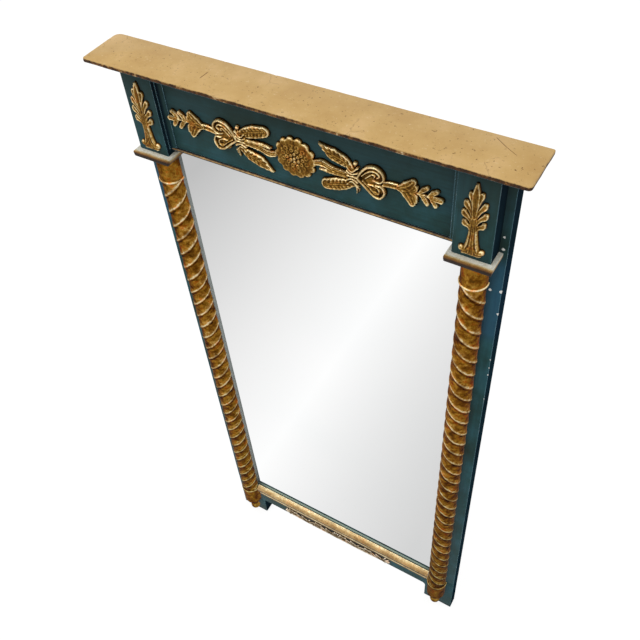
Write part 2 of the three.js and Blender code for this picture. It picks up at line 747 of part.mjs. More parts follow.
// two scrolls that close to a heart, each round a small curled leaf
function heartScroll(side) {
  const start = 73.5 + PIECE_CLEARANCE + 1.6;
  const upperBand = ribbon([
    [start, 3], [81, 12], [89, 18], [97, 17.5], [101.5, 11], [98, 4], [91, 3],
  ], 4.4, 3, side, 16);
  const lowerBand = ribbon([
    [start, -3], [83, -8], [91, -15], [98, -15.5], [102, -9], [98, -3], [91, -3],
  ], 5, 3, side, 16);
  const upperLeaf = smoothOutline([[81, 5], [86, 12], [93, 14], [95, 8], [89, 3.5]], side);
  const lowerLeaf = smoothOutline([[84, -4], [88, -2.5], [96, -5], [95, -12], [90, -11]], side);
  const web = smoothOutline([[76, 0], [82, 7], [92, 10], [102, 2], [92, -8], [82, -5]], side);
  return place(join([
    pillow(upperBand, SCROLL_RELIEF, 1.2, FRIEZE_FACE),
    pillow(lowerBand, SCROLL_RELIEF, 1.2, FRIEZE_FACE),
    pillow(upperLeaf, LEAF_RELIEF, 1.4, FRIEZE_FACE),
    pillow(lowerLeaf, LEAF_RELIEF, 1.4, FRIEZE_FACE),
    pillow(web, STEM_RELIEF - 1.2, 0.6, FRIEZE_FACE),
  ]), FRIEZE_FACE);
}

// a stem with paired leaves and five berries
function budSpray(side) {
  const start = 104.5 + PIECE_CLEARANCE;
  const stem = ribbon([
    [start, -0.5], [114, 1], [126, 3.5], [140, 2.5], [152, 4], [163.5, 2.5],
  ], 8, 2.6, side, 14);
  const upperLeaf = smoothOutline([
    [123, 4], [127, 12], [134, 16.5], [138, 10], [134, 4],
  ], side);
  const lowerLeaf = smoothOutline([
    [126, 2], [125, -6], [129, -13], [135, -10], [136, 1],
  ], side);
  const outerLeaf = smoothOutline([
    [132, 1], [134, -10], [139.5, -12], [141.5, -5], [138, 2],
  ], side);
  const berries = [[147, 11], [159, 11.5], [163.5, 2.5], [149, -5], [159.5, -5]];
  return place(join([
    pillow(stem, STEM_RELIEF, 0.9, FRIEZE_FACE),
    pillow(upperLeaf, LEAF_RELIEF, 1.4, FRIEZE_FACE),
    pillow(lowerLeaf, LEAF_RELIEF, 1.4, FRIEZE_FACE),
    pillow(outerLeaf, STEM_RELIEF, 1.2, FRIEZE_FACE),
    ...berries.map(([x, z]) => (
      dome(side * x, z, BERRY_RADIUS, BERRY_RADIUS, LEAF_RELIEF, FRIEZE_FACE)
    )),
    ...berries.map(([x, z]) => (
      pillow(ribbon([[x - 6, 3.5], [x, z]], 2.2, 2.2, side, 2), STEM_RELIEF, 0.5, FRIEZE_FACE)
    )),
  ]), FRIEZE_FACE);
}

// a fan of curled lobes on a waisted body with two small scroll feet
function palmette(side) {
  const face = FACE - BLOCK_PROJECTION;
  const h = PALMETTE_HEIGHT;
  const w = PALMETTE_HALF_WIDTH;
  const body = smoothOutline([
    [-0.5 * w, 0.02 * h], [0.5 * w, 0.02 * h], [0.27 * w, 0.3 * h],
    [0.45 * w, 0.5 * h], [0, 0.72 * h], [-0.45 * w, 0.5 * h], [-0.27 * w, 0.3 * h],
  ]);
  const crown = smoothOutline([
    [0, 0.55 * h], [0.28 * w, 0.86 * h], [0.16 * w, 0.98 * h],
    [-0.16 * w, 0.98 * h], [-0.28 * w, 0.86 * h],
  ]);
  const pieces = [
    pillow(body, PALMETTE_RELIEF, 1.4, face),
    pillow(crown, PALMETTE_RELIEF, 1.2, face),
  ];
  for (const hand of [-1, 1]) {
    for (let i = 0; i < PALMETTE_LOBES; i += 1) {
      const share = i / (PALMETTE_LOBES - 1);
      const tipX = w * (0.62 + 0.38 * Math.sin(Math.PI * (0.15 + 0.65 * share)));
      const tipZ = h * (0.85 - 0.4 * share);
      const lobe = ribbon([
        [hand * 0.08 * w, tipZ - 0.26 * h], [hand * 0.42 * tipX, tipZ - 0.11 * h],
        [hand * (tipX - 2), tipZ - 1],
      ], 2.4, 5, 1, 3);
      pieces.push(pillow(lobe, PALMETTE_RELIEF - 0.8, 1, face));
      pieces.push(dome(hand * (tipX - 2.4), tipZ - 1.5, 2.6, 3, PALMETTE_RELIEF - 0.6, face));
    }
    pieces.push(dome(hand * 0.66 * w, 0.045 * h, 3.6, 3.6, PALMETTE_RELIEF - 0.4, face));
  }
  const foot = BLOCK_BOTTOM + (BLOCK_HEIGHT - PALMETTE_HEIGHT) * 0.42;
  return geometryOf(
    join(pieces).intersect(inFrontOf(face)).translate([side * COLUMN_X, 0, foot]),
  );
}

// a waving stem with leaves in its hollows, on the apron between the feet and the fillet
function apronScroll() {
  const room = BASE_FILLET_TOP - BASE_FILLET_HEIGHT - FOOT_HEIGHT;
  const height = room - 2 * APRON_SCROLL_MARGIN;
  const bends = 2 * APRON_SCROLL_WAVES;
  const half = APRON_SCROLL_LENGTH / 2;
  const reach = half - 0.24 * height;
  const pitch = reach / bends;
  const amplitude = 0.2 * height;
  const pieces = [dome(0, 0, 0.4 * height, 0.4 * height, APRON_RELIEF, FACE)];
  for (const hand of [-1, 1]) {
    const line = [];
    for (let i = 0; i <= 2 * bends; i += 1) {
      line.push([i / 2 * pitch, amplitude * Math.sin(Math.PI * i / 2)]);
    }
    const stem = ribbon(line, 0.17 * height, 0.12 * height, hand, 2.5 * bends);
    pieces.push(pillow(stem, APRON_RELIEF, 0.2 * APRON_RELIEF, FACE));
    for (let i = 0; i < bends; i += 1) {
      const x = (i + 0.5) * pitch;
      const up = i % 2 === 0 ? -1 : 1;
      const leaf = smoothOutline([
        [x - 0.44 * pitch, -up * amplitude], [x - 0.06 * pitch, up * 0.42 * height],
        [x + 0.39 * pitch, up * 0.34 * height], [x + 0.11 * pitch, 0],
      ], hand);
      pieces.push(pillow(leaf, 0.85 * APRON_RELIEF, 0.24 * APRON_RELIEF, FACE));
    }
    pieces.push(dome(hand * reach, 0, 0.24 * height, 0.4 * height, APRON_RELIEF, FACE));
  }
  return geometryOf(
    join(pieces).intersect(inFrontOf(FACE))
      .translate([APRON_SCROLL_SHIFT, 0, FOOT_HEIGHT + room / 2]),
  );
}

// ---- strap hangers ----------------------------------------------------------------

const KNUCKLE_BORE = RING_WIRE_RADIUS + RING_BORE_CLEARANCE;
const KNUCKLE_RADIUS = KNUCKLE_BORE + STRAP_THICKNESS;

// a steel strap rolled to a knuckle at its upper end, drawn edge-on and cut to its outline
function hangerStrap(side) {
  const profile = new THREE.Shape();
  profile.moveTo(0, -STRAP_LENGTH);
  profile.lineTo(STRAP_THICKNESS, -STRAP_LENGTH);
  const join0 = Math.asin((KNUCKLE_RADIUS - STRAP_THICKNESS) / KNUCKLE_RADIUS);
  profile.lineTo(STRAP_THICKNESS, -KNUCKLE_RADIUS * Math.cos(join0));
  profile.absarc(KNUCKLE_RADIUS, 0, KNUCKLE_RADIUS, -Math.PI / 2 - join0, Math.PI, false);
  const bore = new THREE.Path();
  bore.absarc(KNUCKLE_RADIUS, 0, KNUCKLE_BORE, 0, 2 * Math.PI, true);
  profile.holes.push(bore);
  const rolled = new THREE.ExtrudeGeometry(profile, {
    depth: STRAP_WIDTH,
    bevelEnabled: false,
    curveSegments: 8,
  });
  rolled.applyMatrix4(new THREE.Matrix4().set(
    0, 0, 1, -STRAP_WIDTH / 2,
    1, 0, 0, 0,
    0, 1, 0, 0,
    0, 0, 0, 1,
  ));
  const outline = new THREE.Shape();
  const half = STRAP_WIDTH / 2;
  outline.moveTo(half, 2 * KNUCKLE_RADIUS);
  outline.lineTo(-half, 2 * KNUCKLE_RADIUS);
  outline.lineTo(-half, -STRAP_LENGTH + half);
  outline.absarc(0, -STRAP_LENGTH + half, half, Math.PI, 2 * Math.PI);
  const plan = solid(extrudeForward(outline, 20, 10, 6));
  let strap = solid(rolled).intersect(plan);
  for (let i = 0; i < 2; i += 1) {
    const hole = new THREE.CylinderGeometry(STRAP_HOLE_RADIUS, STRAP_HOLE_RADIUS, 10, 10);
    hole.translate(0, 0, -STRAP_LENGTH + half + i * STRAP_HOLE_SPACING);
    strap = strap.subtract(solid(hole));
  }
  return geometryOf(strap.translate([side * HANGER_X, -POCKET_DEPTH, HANGER_Z]));
}

// a D of round wire whose straight side turns in the knuckle
function hangerRing(side) {
  const bow = [];
  for (let i = 0; i <= 12; i += 1) {
    const turn = Math.PI * i / 12;
    bow.push(new THREE.Vector3(RING_HALF_WIDTH * Math.cos(turn), 0, -RING_DROP * Math.sin(turn)));
  }
  const section = new THREE.Shape();
  section.absarc(0, 0, RING_WIRE_RADIUS, 0, 2 * Math.PI);
  const bowed = new THREE.ExtrudeGeometry(section, {
    steps: 14,
    bevelEnabled: false,
    curveSegments: 4,
    extrudePath: new THREE.CatmullRomCurve3(bow),
  });
  const bar = new THREE.CylinderGeometry(RING_WIRE_RADIUS, RING_WIRE_RADIUS, 2 * RING_HALF_WIDTH, 8);
  const corner = new THREE.SphereGeometry(RING_WIRE_RADIUS, 8, 4);
  const wire = join([
    solid(bowed),
    solid(bar.rotateZ(Math.PI / 2)),
    solid(corner.clone().translate(RING_HALF_WIDTH, 0, 0)),
    solid(corner.translate(-RING_HALF_WIDTH, 0, 0)),
  ]);
  return geometryOf(wire.translate([
    side * HANGER_X, KNUCKLE_RADIUS - POCKET_DEPTH, HANGER_Z,
  ]));
}

// ---- the mirror -------------------------------------------------------------------

const mirror = new THREE.Group();
mirror.position.z = -HANGING_HEIGHT;

mirror.add(
  mesh('cornice_board', corniceBoard(), paleGilding),
  mesh('cornice_bed_board', geometryOf(corniceBed()), tealPaint),
  mesh('top_rail', geometryOf(topRail()), tealPaint),
  mesh('base_board', geometryOf(baseBoard()), tealPaint),
  mesh('frieze_board', friezeBoard(), tealPaint),
  mesh('frieze_bead', friezeBead(), wornGilding),
  mesh('base_bead', baseBead(), paleGilding),
  mesh('base_fillet', baseFillet(), paleGilding),
  mesh('apron_scroll', apronScroll(), wornGilding),
  mesh('rosette', rosette(), wornGilding),
  mesh('mirror_glass', mirrorGlass(), silveredGlass),
);

for (let i = 0; i < PLANK_COUNT; i += 1) {
  mirror.add(mesh(`back_plank_${i + 1}`, backPlank(i), bareWood));
}

for (const { word, side } of sides) {
  mirror.add(
    mesh(`stile_${word}`, geometryOf(stile(side)), tealPaint),
    mesh(`block_${word}`, block(side), tealPaint),
    mesh(`frieze_cove_${word}`, friezeCove(side), tealPaint),
    mesh(`capital_${word}`, capital(side), gessoAndGilding),
    mesh(`column_neck_${word}`, geometryOf(columnNeck(side)), wornGilding),
    mesh(`column_shaft_${word}`, columnShaft(side), wornGilding),
    mesh(`column_base_${word}`, geometryOf(columnBase(side)), wornGilding),
    mesh(`drop_knob_${word}`, geometryOf(dropKnob(side)), wornGilding),
    mesh(`palmette_${word}`, palmette(side), wornGilding),
    mesh(`wing_leaves_${word}`, wingLeaves(side), wornGilding),
    mesh(`heart_scroll_${word}`, heartScroll(side), wornGilding),
    mesh(`bud_spray_${word}`, budSpray(side), wornGilding),
    mesh(`hanger_strap_${word}`, hangerStrap(side), zincSteel),
    mesh(`hanger_ring_${word}`, hangerRing(side), zincSteel),
  );
}

export default mirror;
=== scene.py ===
"""A trumeau mirror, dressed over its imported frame.

Painted boards with planed arrises, spiral-carved gilt half columns, moulded composition
ornament, a rubbed bronze-painted cornice, silvered plate glass and strap hangers.
Metres. The mirror faces -Y, +Z is up, and the origin is on the back of the top rail.
"""
import json
import math
from functools import partial, reduce

import bmesh
import bpy
import numpy as np
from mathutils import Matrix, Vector, noise

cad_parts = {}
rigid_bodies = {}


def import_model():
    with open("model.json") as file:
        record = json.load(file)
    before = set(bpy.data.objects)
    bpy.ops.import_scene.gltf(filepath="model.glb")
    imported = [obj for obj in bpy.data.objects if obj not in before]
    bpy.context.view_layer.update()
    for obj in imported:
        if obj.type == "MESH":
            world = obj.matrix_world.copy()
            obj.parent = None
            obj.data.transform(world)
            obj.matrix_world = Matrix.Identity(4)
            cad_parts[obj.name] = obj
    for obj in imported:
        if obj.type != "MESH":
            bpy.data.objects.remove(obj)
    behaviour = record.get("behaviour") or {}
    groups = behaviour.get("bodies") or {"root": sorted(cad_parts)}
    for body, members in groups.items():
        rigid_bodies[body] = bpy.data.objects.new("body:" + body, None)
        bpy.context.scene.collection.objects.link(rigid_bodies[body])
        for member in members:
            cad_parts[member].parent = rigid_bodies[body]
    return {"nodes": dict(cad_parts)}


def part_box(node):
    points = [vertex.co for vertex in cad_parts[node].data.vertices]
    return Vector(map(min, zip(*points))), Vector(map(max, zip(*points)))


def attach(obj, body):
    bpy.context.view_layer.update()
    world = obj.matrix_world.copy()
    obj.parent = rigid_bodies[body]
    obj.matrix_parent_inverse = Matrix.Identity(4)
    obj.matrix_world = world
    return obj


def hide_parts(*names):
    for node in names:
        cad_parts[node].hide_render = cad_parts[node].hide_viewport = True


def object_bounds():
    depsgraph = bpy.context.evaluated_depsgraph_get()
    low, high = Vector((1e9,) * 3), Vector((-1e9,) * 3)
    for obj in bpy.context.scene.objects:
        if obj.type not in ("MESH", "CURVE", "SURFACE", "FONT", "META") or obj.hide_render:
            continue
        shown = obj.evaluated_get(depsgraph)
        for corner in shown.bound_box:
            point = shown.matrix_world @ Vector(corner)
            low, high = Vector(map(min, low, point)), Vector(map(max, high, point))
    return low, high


bl_info = {
    "name": "Trumeau mirror",
    "version": (1, 0, 0),
    "blender": (4, 5, 0),
    "location": "View3D > Sidebar > Mirror",
    "description": "Carved, gilded and painted pieces of a trumeau mirror",
    "category": "Add Mesh",
}

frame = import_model()
cad_low, cad_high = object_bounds()

MM = 0.001
BODY = "mirror"
SIDES = {"left": -1, "right": 1}

# colours, as sRGB
TEAL = "#2d5b62"
PINE = "#8f7350"

# ---- places taken from the frame ------------------------------------------------------

FLOOR_Z = cad_low.z
BOARD_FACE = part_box("stile_left")[0].y
FRIEZE_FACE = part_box("frieze_board")[0].y
BLOCK_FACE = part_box("block_left")[0].y
ORNAMENT_X = (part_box("rosette")[0].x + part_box("rosette")[1].x) / 2
ORNAMENT_Z = (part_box("rosette")[0].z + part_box("rosette")[1].z) / 2
COLUMN_X = (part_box("column_shaft_right")[0].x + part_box("column_shaft_right")[1].x) / 2
SHAFT_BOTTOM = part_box("column_shaft_right")[0].z
SHAFT_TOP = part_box("column_shaft_right")[1].z
NECK_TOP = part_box("column_neck_right")[1].z
BASE_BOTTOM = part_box("column_base_right")[0].z
KNOB_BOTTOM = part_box("drop_knob_right")[0].z

# ---- sizes of the pieces and of their wear, in millimetres ----------------------------

COLUMN_AXIS_PROJECTION = 3.6
SHAFT_TOP_RADIUS = 15.0
SHAFT_BOTTOM_RADIUS = 15.8
TWIST_START = {"left": -0.30, "right": 0.285}
RING_HEIGHT = 3.8
RING_PROJECTION = 1.4
DRUM_RADIUS = 16.2
BOWL_DEPTH = 12.6
BOWL_MOUTH_RADIUS = 7
KNOB_RADIUS = 9
KNOB_STEM_RADIUS = 6.5
CORNICE_ARRIS = 1.2
GLASS_LAP = 7.6
LIP_TRIM = 4
HANGER_POCKET = 7
CORNER_WEAR = {"front_left": 2, "front_right": 3.5, "back_right": 1.5, "back_left": 8}
SINK = 0.8
DROP_NECK = COLUMN_AXIS_PROJECTION + 1.1
STRAP_THICKNESS = 1.2
SCREW_HEIGHTS = (7, 21)
PIN_INSET = 4

# places of the pins along the ends of a plank, as shares of its width
PIN_SHARES = (0.16, 0.5, 0.84)

# edges sharper than these are shaded as edges, and planed
SHADED_EDGE = math.radians(42)
PLANED_EDGE = math.radians(35)

# where the paint of the right stile has chipped to its ground: x, height above the floor
# and size of each chip, in millimetres
PAINT_CHIPS = [
    (217, 841, 2.6), (229.5, 843, 3.2), (229.5, 809, 2.6), (223.5, 917, 2.2), (224, 901, 2.8),
    (223, 894, 1.8), (229.5, 731, 1.6), (229.5, 716, 1.4), (229.5, 703, 1.6), (229.5, 655, 1.2),
]

# scratches in the cornice: from, to and half breadth, in millimetres
CORNICE_SCRATCHES = [
    ((-107.6, -38.4, 0), (-106.9, -25.5, 0), 0.5),
    ((199, -6, 0), (211, -15, 0), 0.35),
    ((211, -15, 0), (224, -23, 0), 0.3),
]

# the photograph's glass shows none of these pieces
UNSEEN_IN_THE_GLASS = (
    "carved_shaft", "turned_", "stile_", "base_board", "apron_scroll", "base_bead",
    "base_fillet", "capital_", "block_", "palmette_",
)

# camera, from the photograph's perspective
CAMERA_PLACE = (0.37928, -0.57043, 0.47843)
CAMERA_TURN = (41.725, 3.583, 30.590)
CAMERA_LENS = 43.263
SENSOR_WIDTH = 36.0

# how dark the shadows on the floor are, and how far it reaches, in metres
FLOOR_SHADOW = 0.3
FLOOR_REACH = 6.0

# area lamps: name, place, what it is aimed at, size in metres, watts
LAMPS = [
    ("key", (-0.9, -1.3, 1.7), (0, 0, -0.2), 1.3, 15),
    ("top", (0.3, -0.5, 2.2), (0, 0, 0), 1.6, 9),
]

# sockets of the Mix node for colours
MIX_FACTOR, MIX_A, MIX_B, MIX_RESULT = 0, 6, 7, 2


def linear(colour):
    """Linear RGBA of an sRGB colour written as #rrggbb."""
    parts = [int(colour[i : i + 2], 16) / 255 for i in (1, 3, 5)]
    return (*[p / 12.92 if p <= 0.04045 else ((p + 0.055) / 1.055) ** 2.4 for p in parts], 1.0)


def per_mm(size):
    """Texture scale, in repeats a metre, of a pattern of this size in millimetres."""
    return 1000 / size


# ---- what a user would change ---------------------------------------------------------


class MirrorSizes(bpy.types.PropertyGroup):
    """Sizes of the carving and the ornament."""

    strands: bpy.props.IntProperty(
        name="Strands", description="Strands that wind round each column", default=3, min=1, max=8
    )
    lead: bpy.props.FloatProperty(
        name="Lead", description="Height of one full turn of a strand",
        default=74.8 * MM, unit="LENGTH",
    )
    groove: bpy.props.FloatProperty(
        name="Groove depth", description="Depth of the valleys between the strands",
        default=0.95 * MM, unit="LENGTH",
    )
    arris: bpy.props.FloatProperty(
        name="Arris", description="Rounding of the boards' edges by planing and wear",
        default=0.8 * MM, unit="LENGTH",
    )
    relief: bpy.props.FloatProperty(
        name="Relief", description="Height of the leaves above the frieze",
        default=5 * MM, unit="LENGTH",
    )
    cell: bpy.props.FloatProperty(
        name="Modelling step", description="Fineness to which the ornament is modelled",
        default=0.45 * MM, unit="LENGTH",
    )
    chipping: bpy.props.FloatProperty(
        name="Chipping", description="How much of the paint has chipped at the arrises",
        default=0.5, min=0, max=1, subtype="FACTOR",
    )


class MirrorColours(bpy.types.PropertyGroup):
    """Main colours of the finishes."""

    paint: bpy.props.FloatVectorProperty(
        name="Paint", description="Milk paint of the boards", default=linear(TEAL),
        size=4, subtype="COLOR", min=0, max=1,
    )
    pine: bpy.props.FloatVectorProperty(
        name="Pine", description="Bare wood of the back", default=linear(PINE),
        size=4, subtype="COLOR", min=0, max=1,
    )
    floor: bpy.props.FloatVectorProperty(
        name="Floor", description="Floor of the studio", default=linear("#d9d9d7"),
        size=4, subtype="COLOR", min=0, max=1,
    )


# ---- materials ------------------------------------------------------------------------


def set_inputs(tree, made, inputs):
    """Links or sets the inputs of a node."""
    for key, value in inputs.items():
        if isinstance(value, bpy.types.NodeSocket):
            tree.links.new(value, made.inputs[key])
        else:
            made.inputs[key].default_value = value


def add_node(tree, kind, inputs=None, stops=(), **settings):
    """Adds a shader node, with its settings, socket values or links, and colour stops."""
    made = tree.nodes.new("ShaderNode" + kind)
    for name, value in settings.items():
        setattr(made, name, value)
    set_inputs(tree, made, inputs or {})
    for i, (position, colour) in enumerate(stops):
        ramp = made.color_ramp
        stop = ramp.elements[i] if i < 2 else ramp.elements.new(position)
        stop.position = position
        stop.color = linear(colour)
    return made


class Finish:
    """A material in the making, with the kinds of node that most of them are made of."""

    def __init__(self, name):
        self.made = bpy.data.materials.new(name)
        self.made.use_nodes = True
        self.tree = self.made.node_tree
        self.tree.nodes.clear()
        self.shader = add_node(self.tree, "BsdfPrincipled")
        add_node(self.tree, "OutputMaterial", {"Surface": self.shader.outputs["BSDF"]})
        self.place = add_node(self.tree, "TexCoord").outputs["Object"]

    def shaded(self, inputs):
        """Sets or links the inputs of the shader, and gives the material."""
        set_inputs(self.tree, self.shader, inputs)
        return self.made

    def split(self, vector):
        """The X, Y and Z of a vector."""
        return add_node(self.tree, "SeparateXYZ", {"Vector": vector}).outputs[:]

    def math(self, operation, *values):
        """One step of arithmetic."""
        made = add_node(self.tree, "Math", dict(enumerate(values)), operation=operation)
        return made.outputs[0]

    def vector(self, operation, *values):
        """One step of vector arithmetic."""
        made = add_node(self.tree, "VectorMath", dict(enumerate(values)), operation=operation)
        return made.outputs["Value" if operation in ("DOT_PRODUCT", "DISTANCE") else "Vector"]

    def share(self, value, start=0.0, end=1.0, low=0.0, high=1.0):
        """Runs from low to high while the value runs from start to end, and stops there."""
        return add_node(
            self.tree, "MapRange",
            {"Value": value, "From Min": start, "From Max": end, "To Min": low, "To Max": high},
        ).outputs["Result"]

    def stretched(self, scale):
        """The place, drawn out along the axes of a small scale."""
        return add_node(
            self.tree, "Mapping", {"Vector": self.place, "Scale": scale}
        ).outputs["Vector"]

    def noise(self, size, detail, roughness=0.5, place=None, output="Fac"):
        """Clouds of about this size in millimetres."""
        return add_node(
            self.tree, "TexNoise",
            {"Vector": place or self.place, "Scale": per_mm(size), "Detail": detail,
             "Roughness": roughness},
        ).outputs[output]

    def ramp(self, value, *stops):
        """A colour for each value."""
        return add_node(self.tree, "ValToRGB", {"Fac": value}, stops).outputs["Color"]

    def mix(self, factor, under, over, how="MIX"):
        """One colour over another; the upper one may be written as #rrggbb."""
        over = linear(over) if isinstance(over, str) else over
        return add_node(
            self.tree, "Mix", {MIX_FACTOR: factor, MIX_A: under, MIX_B: over},
            data_type="RGBA", blend_type=how,
        ).outputs[MIX_RESULT]

    def bump(self, strength, depth, height, **over):
        """Relief of this depth in millimetres, over another one if that is given."""
        inputs = {"Strength": strength, "Distance": depth * MM, "Height": height, **over}
        return add_node(self.tree, "Bump", inputs).outputs["Normal"]

    def all_of(self, *masks):
        """Where every one of the masks is 1."""
        return reduce(partial(self.math, "MULTIPLY"), masks)

    def within(self, value, middle, half):
        """1 where the value is within this much of the middle, with a soft edge."""
        far = self.math("ABSOLUTE", self.math("SUBTRACT", value, middle))
        return self.share(far, 1.15 * half, 0.85 * half)

    def worn_and_highlit_arrises(self, radius, breadth):
        """Mask of the arrises, broken up as wear is: 1 for worn finish and for a painted highlight.
        """
        rounded = add_node(self.tree, "Bevel", {"Radius": radius * MM}, samples=6)
        flat = add_node(self.tree, "NewGeometry").outputs["Normal"]
        bend = self.share(self.vector("DOT_PRODUCT", rounded.outputs["Normal"], flat), 1.0, 0.78)
        patches = self.math("SUBTRACT", self.noise(14, 8, 0.7), 1.12 - breadth)
        return self.share(self.math("ADD", bend, patches), 0.52, 0.6)

    def scratch(self, start, end, breadth):
        """Mask of a thin straight mark between two places, given in millimetres."""
        start, end = Vector(start) * MM, Vector(end) * MM
        line = end - start
        side = line.cross(Vector((0, 0, 1))).normalized()
        offset = self.vector("SUBTRACT", self.place, (start + end) / 2)
        return self.all_of(*[
            self.within(self.vector("DOT_PRODUCT", offset, direction), 0.0, half)
            for direction, half in ((line.normalized(), line.length / 2), (side, breadth * MM))
        ])


def placed_chips(on):
    """Mask of the paint's larger chips, each a ragged spot about its own place."""
    shares = []
    for x, height, size in PAINT_CHIPS:
        spot = (x * MM, BOARD_FACE, FLOOR_Z + height * MM)
        shares.append(on.math("DIVIDE", on.vector("DISTANCE", on.place, spot), size * MM))
    nearest = reduce(partial(on.math, "MINIMUM"), shares)
    return on.share(on.math("MULTIPLY_ADD", on.noise(2.2, 2), 1.1, nearest), 1.3, 1.15)


def reveal_painted_as_reflection(on, at, out, facing, turned, upright):
    """The edges that face the glass, painted its pale grey: a painted reflection."""
    low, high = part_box("mirror_glass")
    depth = (BOARD_FACE + low.y) / 2
    if upright:
        return on.all_of(
            on.within(turned, 1.0, 0.2),
            on.within(at[1], depth, (low.y - BOARD_FACE) / 2 - 0.9 * MM),
            on.within(out, high.x, 12 * MM),
            on.within(at[2], (low.z + high.z) / 2, (high.z - low.z) / 2),
        )
    return on.all_of(
        on.within(facing[2], 1.0, 0.2), on.within(at[1], depth, 1.6 * MM),
        on.within(at[2], low.z, 30 * MM), on.within(at[0], 0.0, high.x),
    )


def unpainted(on, at, out, facing, upright):
    """The back of a board, with the hanger's pocket where it is an upright one."""
    back = on.share(facing[1], 0.3, 0.6)
    if not upright:
        return back
    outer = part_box("stile_right")[1].x
    inside = on.share(out, outer - 2 * MM, outer - 3 * MM)
    return on.math("MAXIMUM", back, on.all_of(on.within(at[1], 0.0, HANGER_POCKET * MM), inside))


def behind_scroll(on, at):
    """Where the apron's paint is darkened, between the stems of its scroll."""
    low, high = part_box("apron_scroll")
    return on.all_of(
        on.within(at[0], (low.x + high.x) / 2, 0.47 * (high.x - low.x)),
        on.within(at[2], (low.z + high.z) / 2, 0.56 * (high.z - low.z)),
    )


def milk_painted_pine(name, grain):
    """Milk paint brushed on pine: soft sheen, brush marks along the board, painted corner shade."""
    colours = bpy.context.scene.mirror_colours
    chipping = bpy.context.scene.mirror_sizes.chipping
    upright = grain == "Z"
    on = Finish(name)
    at = on.split(on.place)
    out = on.math("ABSOLUTE", at[0])
    facing = on.split(add_node(on.tree, "NewGeometry").outputs["Normal"])
    turned = on.math("ABSOLUTE", facing[0])
    brush = on.noise(3, 5, 0.6, on.stretched((1, 1, 0.07) if upright else (0.07, 1, 1)))
    # the paint is greener and darker where the old varnish is thick
    tone = on.ramp(
        on.noise(60, 5, 0.6),
        (0.3, "#b3a98c"), (0.47, "#d8ddd2"), (0.58, "#ffffff"), (0.72, "#e8f4ff"),
    )
    paint = on.mix(1.0, colours.paint, tone, "MULTIPLY")
    streaks = on.ramp(brush, (0.3, "#7c7c7c"), (0.7, "#ffffff"))
    paint = on.mix(0.45, paint, streaks, "MULTIPLY")
    # painted shade and grime grey the paint under the cornice
    paint = on.mix(on.share(at[2], -0.06, 0.03, high=0.62), paint, "#2b3530")
    # beside the columns the varnish is thin and the paint bluer
    bluer = on.all_of(on.within(at[2], -0.125, 60 * MM), on.share(out, 0.17, 0.2, high=0.42))
    paint = on.mix(bluer, paint, "#2c5476")
    # painted shade: the sides are painted bluer and darker than the front
    painted_side_shade = on.share(turned, 0.6, 0.9, high=0.8)
    paint = on.mix(painted_side_shade, paint, "#121c2a")
    # painted reflection: the edges facing the glass take the pale grey of the glass
    ground = reveal_painted_as_reflection(on, at, out, facing, turned, upright)
    paint = on.mix(ground, paint, "#b4bab6" if upright else "#a3b3a2")
    if not upright:
        paint = on.mix(behind_scroll(on, at), paint, "#15130c")
    # painted shade: the paint is darkened in corners and recesses that the AO node finds occluded
    corner = add_node(on.tree, "AmbientOcclusion", {"Distance": 16 * MM}, samples=6)
    paint = on.mix(on.share(corner.outputs["AO"], 0.25, 0.85, 0.75, 0.0), paint, "#12191a")
    # rubbed paint with a painted highlight on the arrises, chips to the white ground in a few spots
    paint = on.mix(on.worn_and_highlit_arrises(2.0, 0.5 + 0.2 * chipping), paint, "#6d93a2")
    paint = on.mix(on.worn_and_highlit_arrises(1.2, 0.2 * chipping), paint, "#cfd2c6")
    if upright:
        paint = on.mix(placed_chips(on), paint, "#f2f1ea")
    # the backs, their arrises and the pockets of the hangers were never painted
    wood = on.ramp(brush, (0.3, "#4f3a24"), (0.5, "#80633f"), (0.7, "#96774d"))
    return on.shaded({
        "Base Color": on.mix(unpainted(on, at, out, facing, upright), paint, wood),
        "Roughness": on.share(brush, low=0.42, high=0.62),
        "Specular IOR Level": on.share(painted_side_shade, end=0.8, low=0.12, high=0.0),
        "Normal": on.bump(0.35, 0.25, brush),
    })


def gold_leaf_tones(on, stops, breakup, patch, glaze_share):
    """Colour of toned gold leaf on the crests and hollows of the carving, and its grain."""
    crest = add_node(on.tree, "Attribute", attribute_name="crest").outputs["Fac"]
    fine = on.noise(2.2, 6, 0.7)
    both = on.math("ADD", fine, on.noise(7, 4, 0.6))
    leaf = on.ramp(on.math("ADD", crest, on.share(both, 0.65, 1.35, -breakup, breakup)), *stops)
    glaze = on.ramp(
        on.noise(patch, 5, 0.7),
        (0.34, "#6b4a22"), (0.45, "#bf9c6c"), (0.53, "#ffffff"), (0.64, "#ffac62"),
    )
    return on.mix(glaze_share, leaf, glaze, "MULTIPLY"), fine


def water_gilding(name):
    """Gold leaf burnished on carved wood: warm metal, umber and painted shade in the valleys,
    rubbed crests with a painted highlight.
    """
    on = Finish(name)
    stops = [(0.0, "#1f1205"), (0.2, "#4a2e08"), (0.4, "#8a6018"),
             (0.6, "#b88a36"), (0.76, "#dcb468"), (0.92, "#fff2c8")]
    toned, fine = gold_leaf_tones(on, stops, 0.2, 13, 0.8)
    # painted shade: the columns are painted darker and greener toward the floor
    darkened_toward_floor = on.share(on.split(on.place)[2], -0.3, -0.85, high=0.7)
    # the tools left small pits over slow undulations
    pits = on.math("MULTIPLY_ADD", on.noise(8, 2), 1.5, on.noise(2.6, 4, 0.6))
    return on.shaded({
        "Base Color": on.mix(darkened_toward_floor, toned, "#c4cda6", "MULTIPLY"),
        "Metallic": 0.8,
        # the brown glaze keeps the metal warm where it is seen from the side
        "Specular Tint": linear("#7a5528"),
        "Specular IOR Level": 0.2,
        "Roughness": on.share(fine, low=0.28, high=0.55),
        "Normal": on.bump(0.6, 0.4, pits),
    })


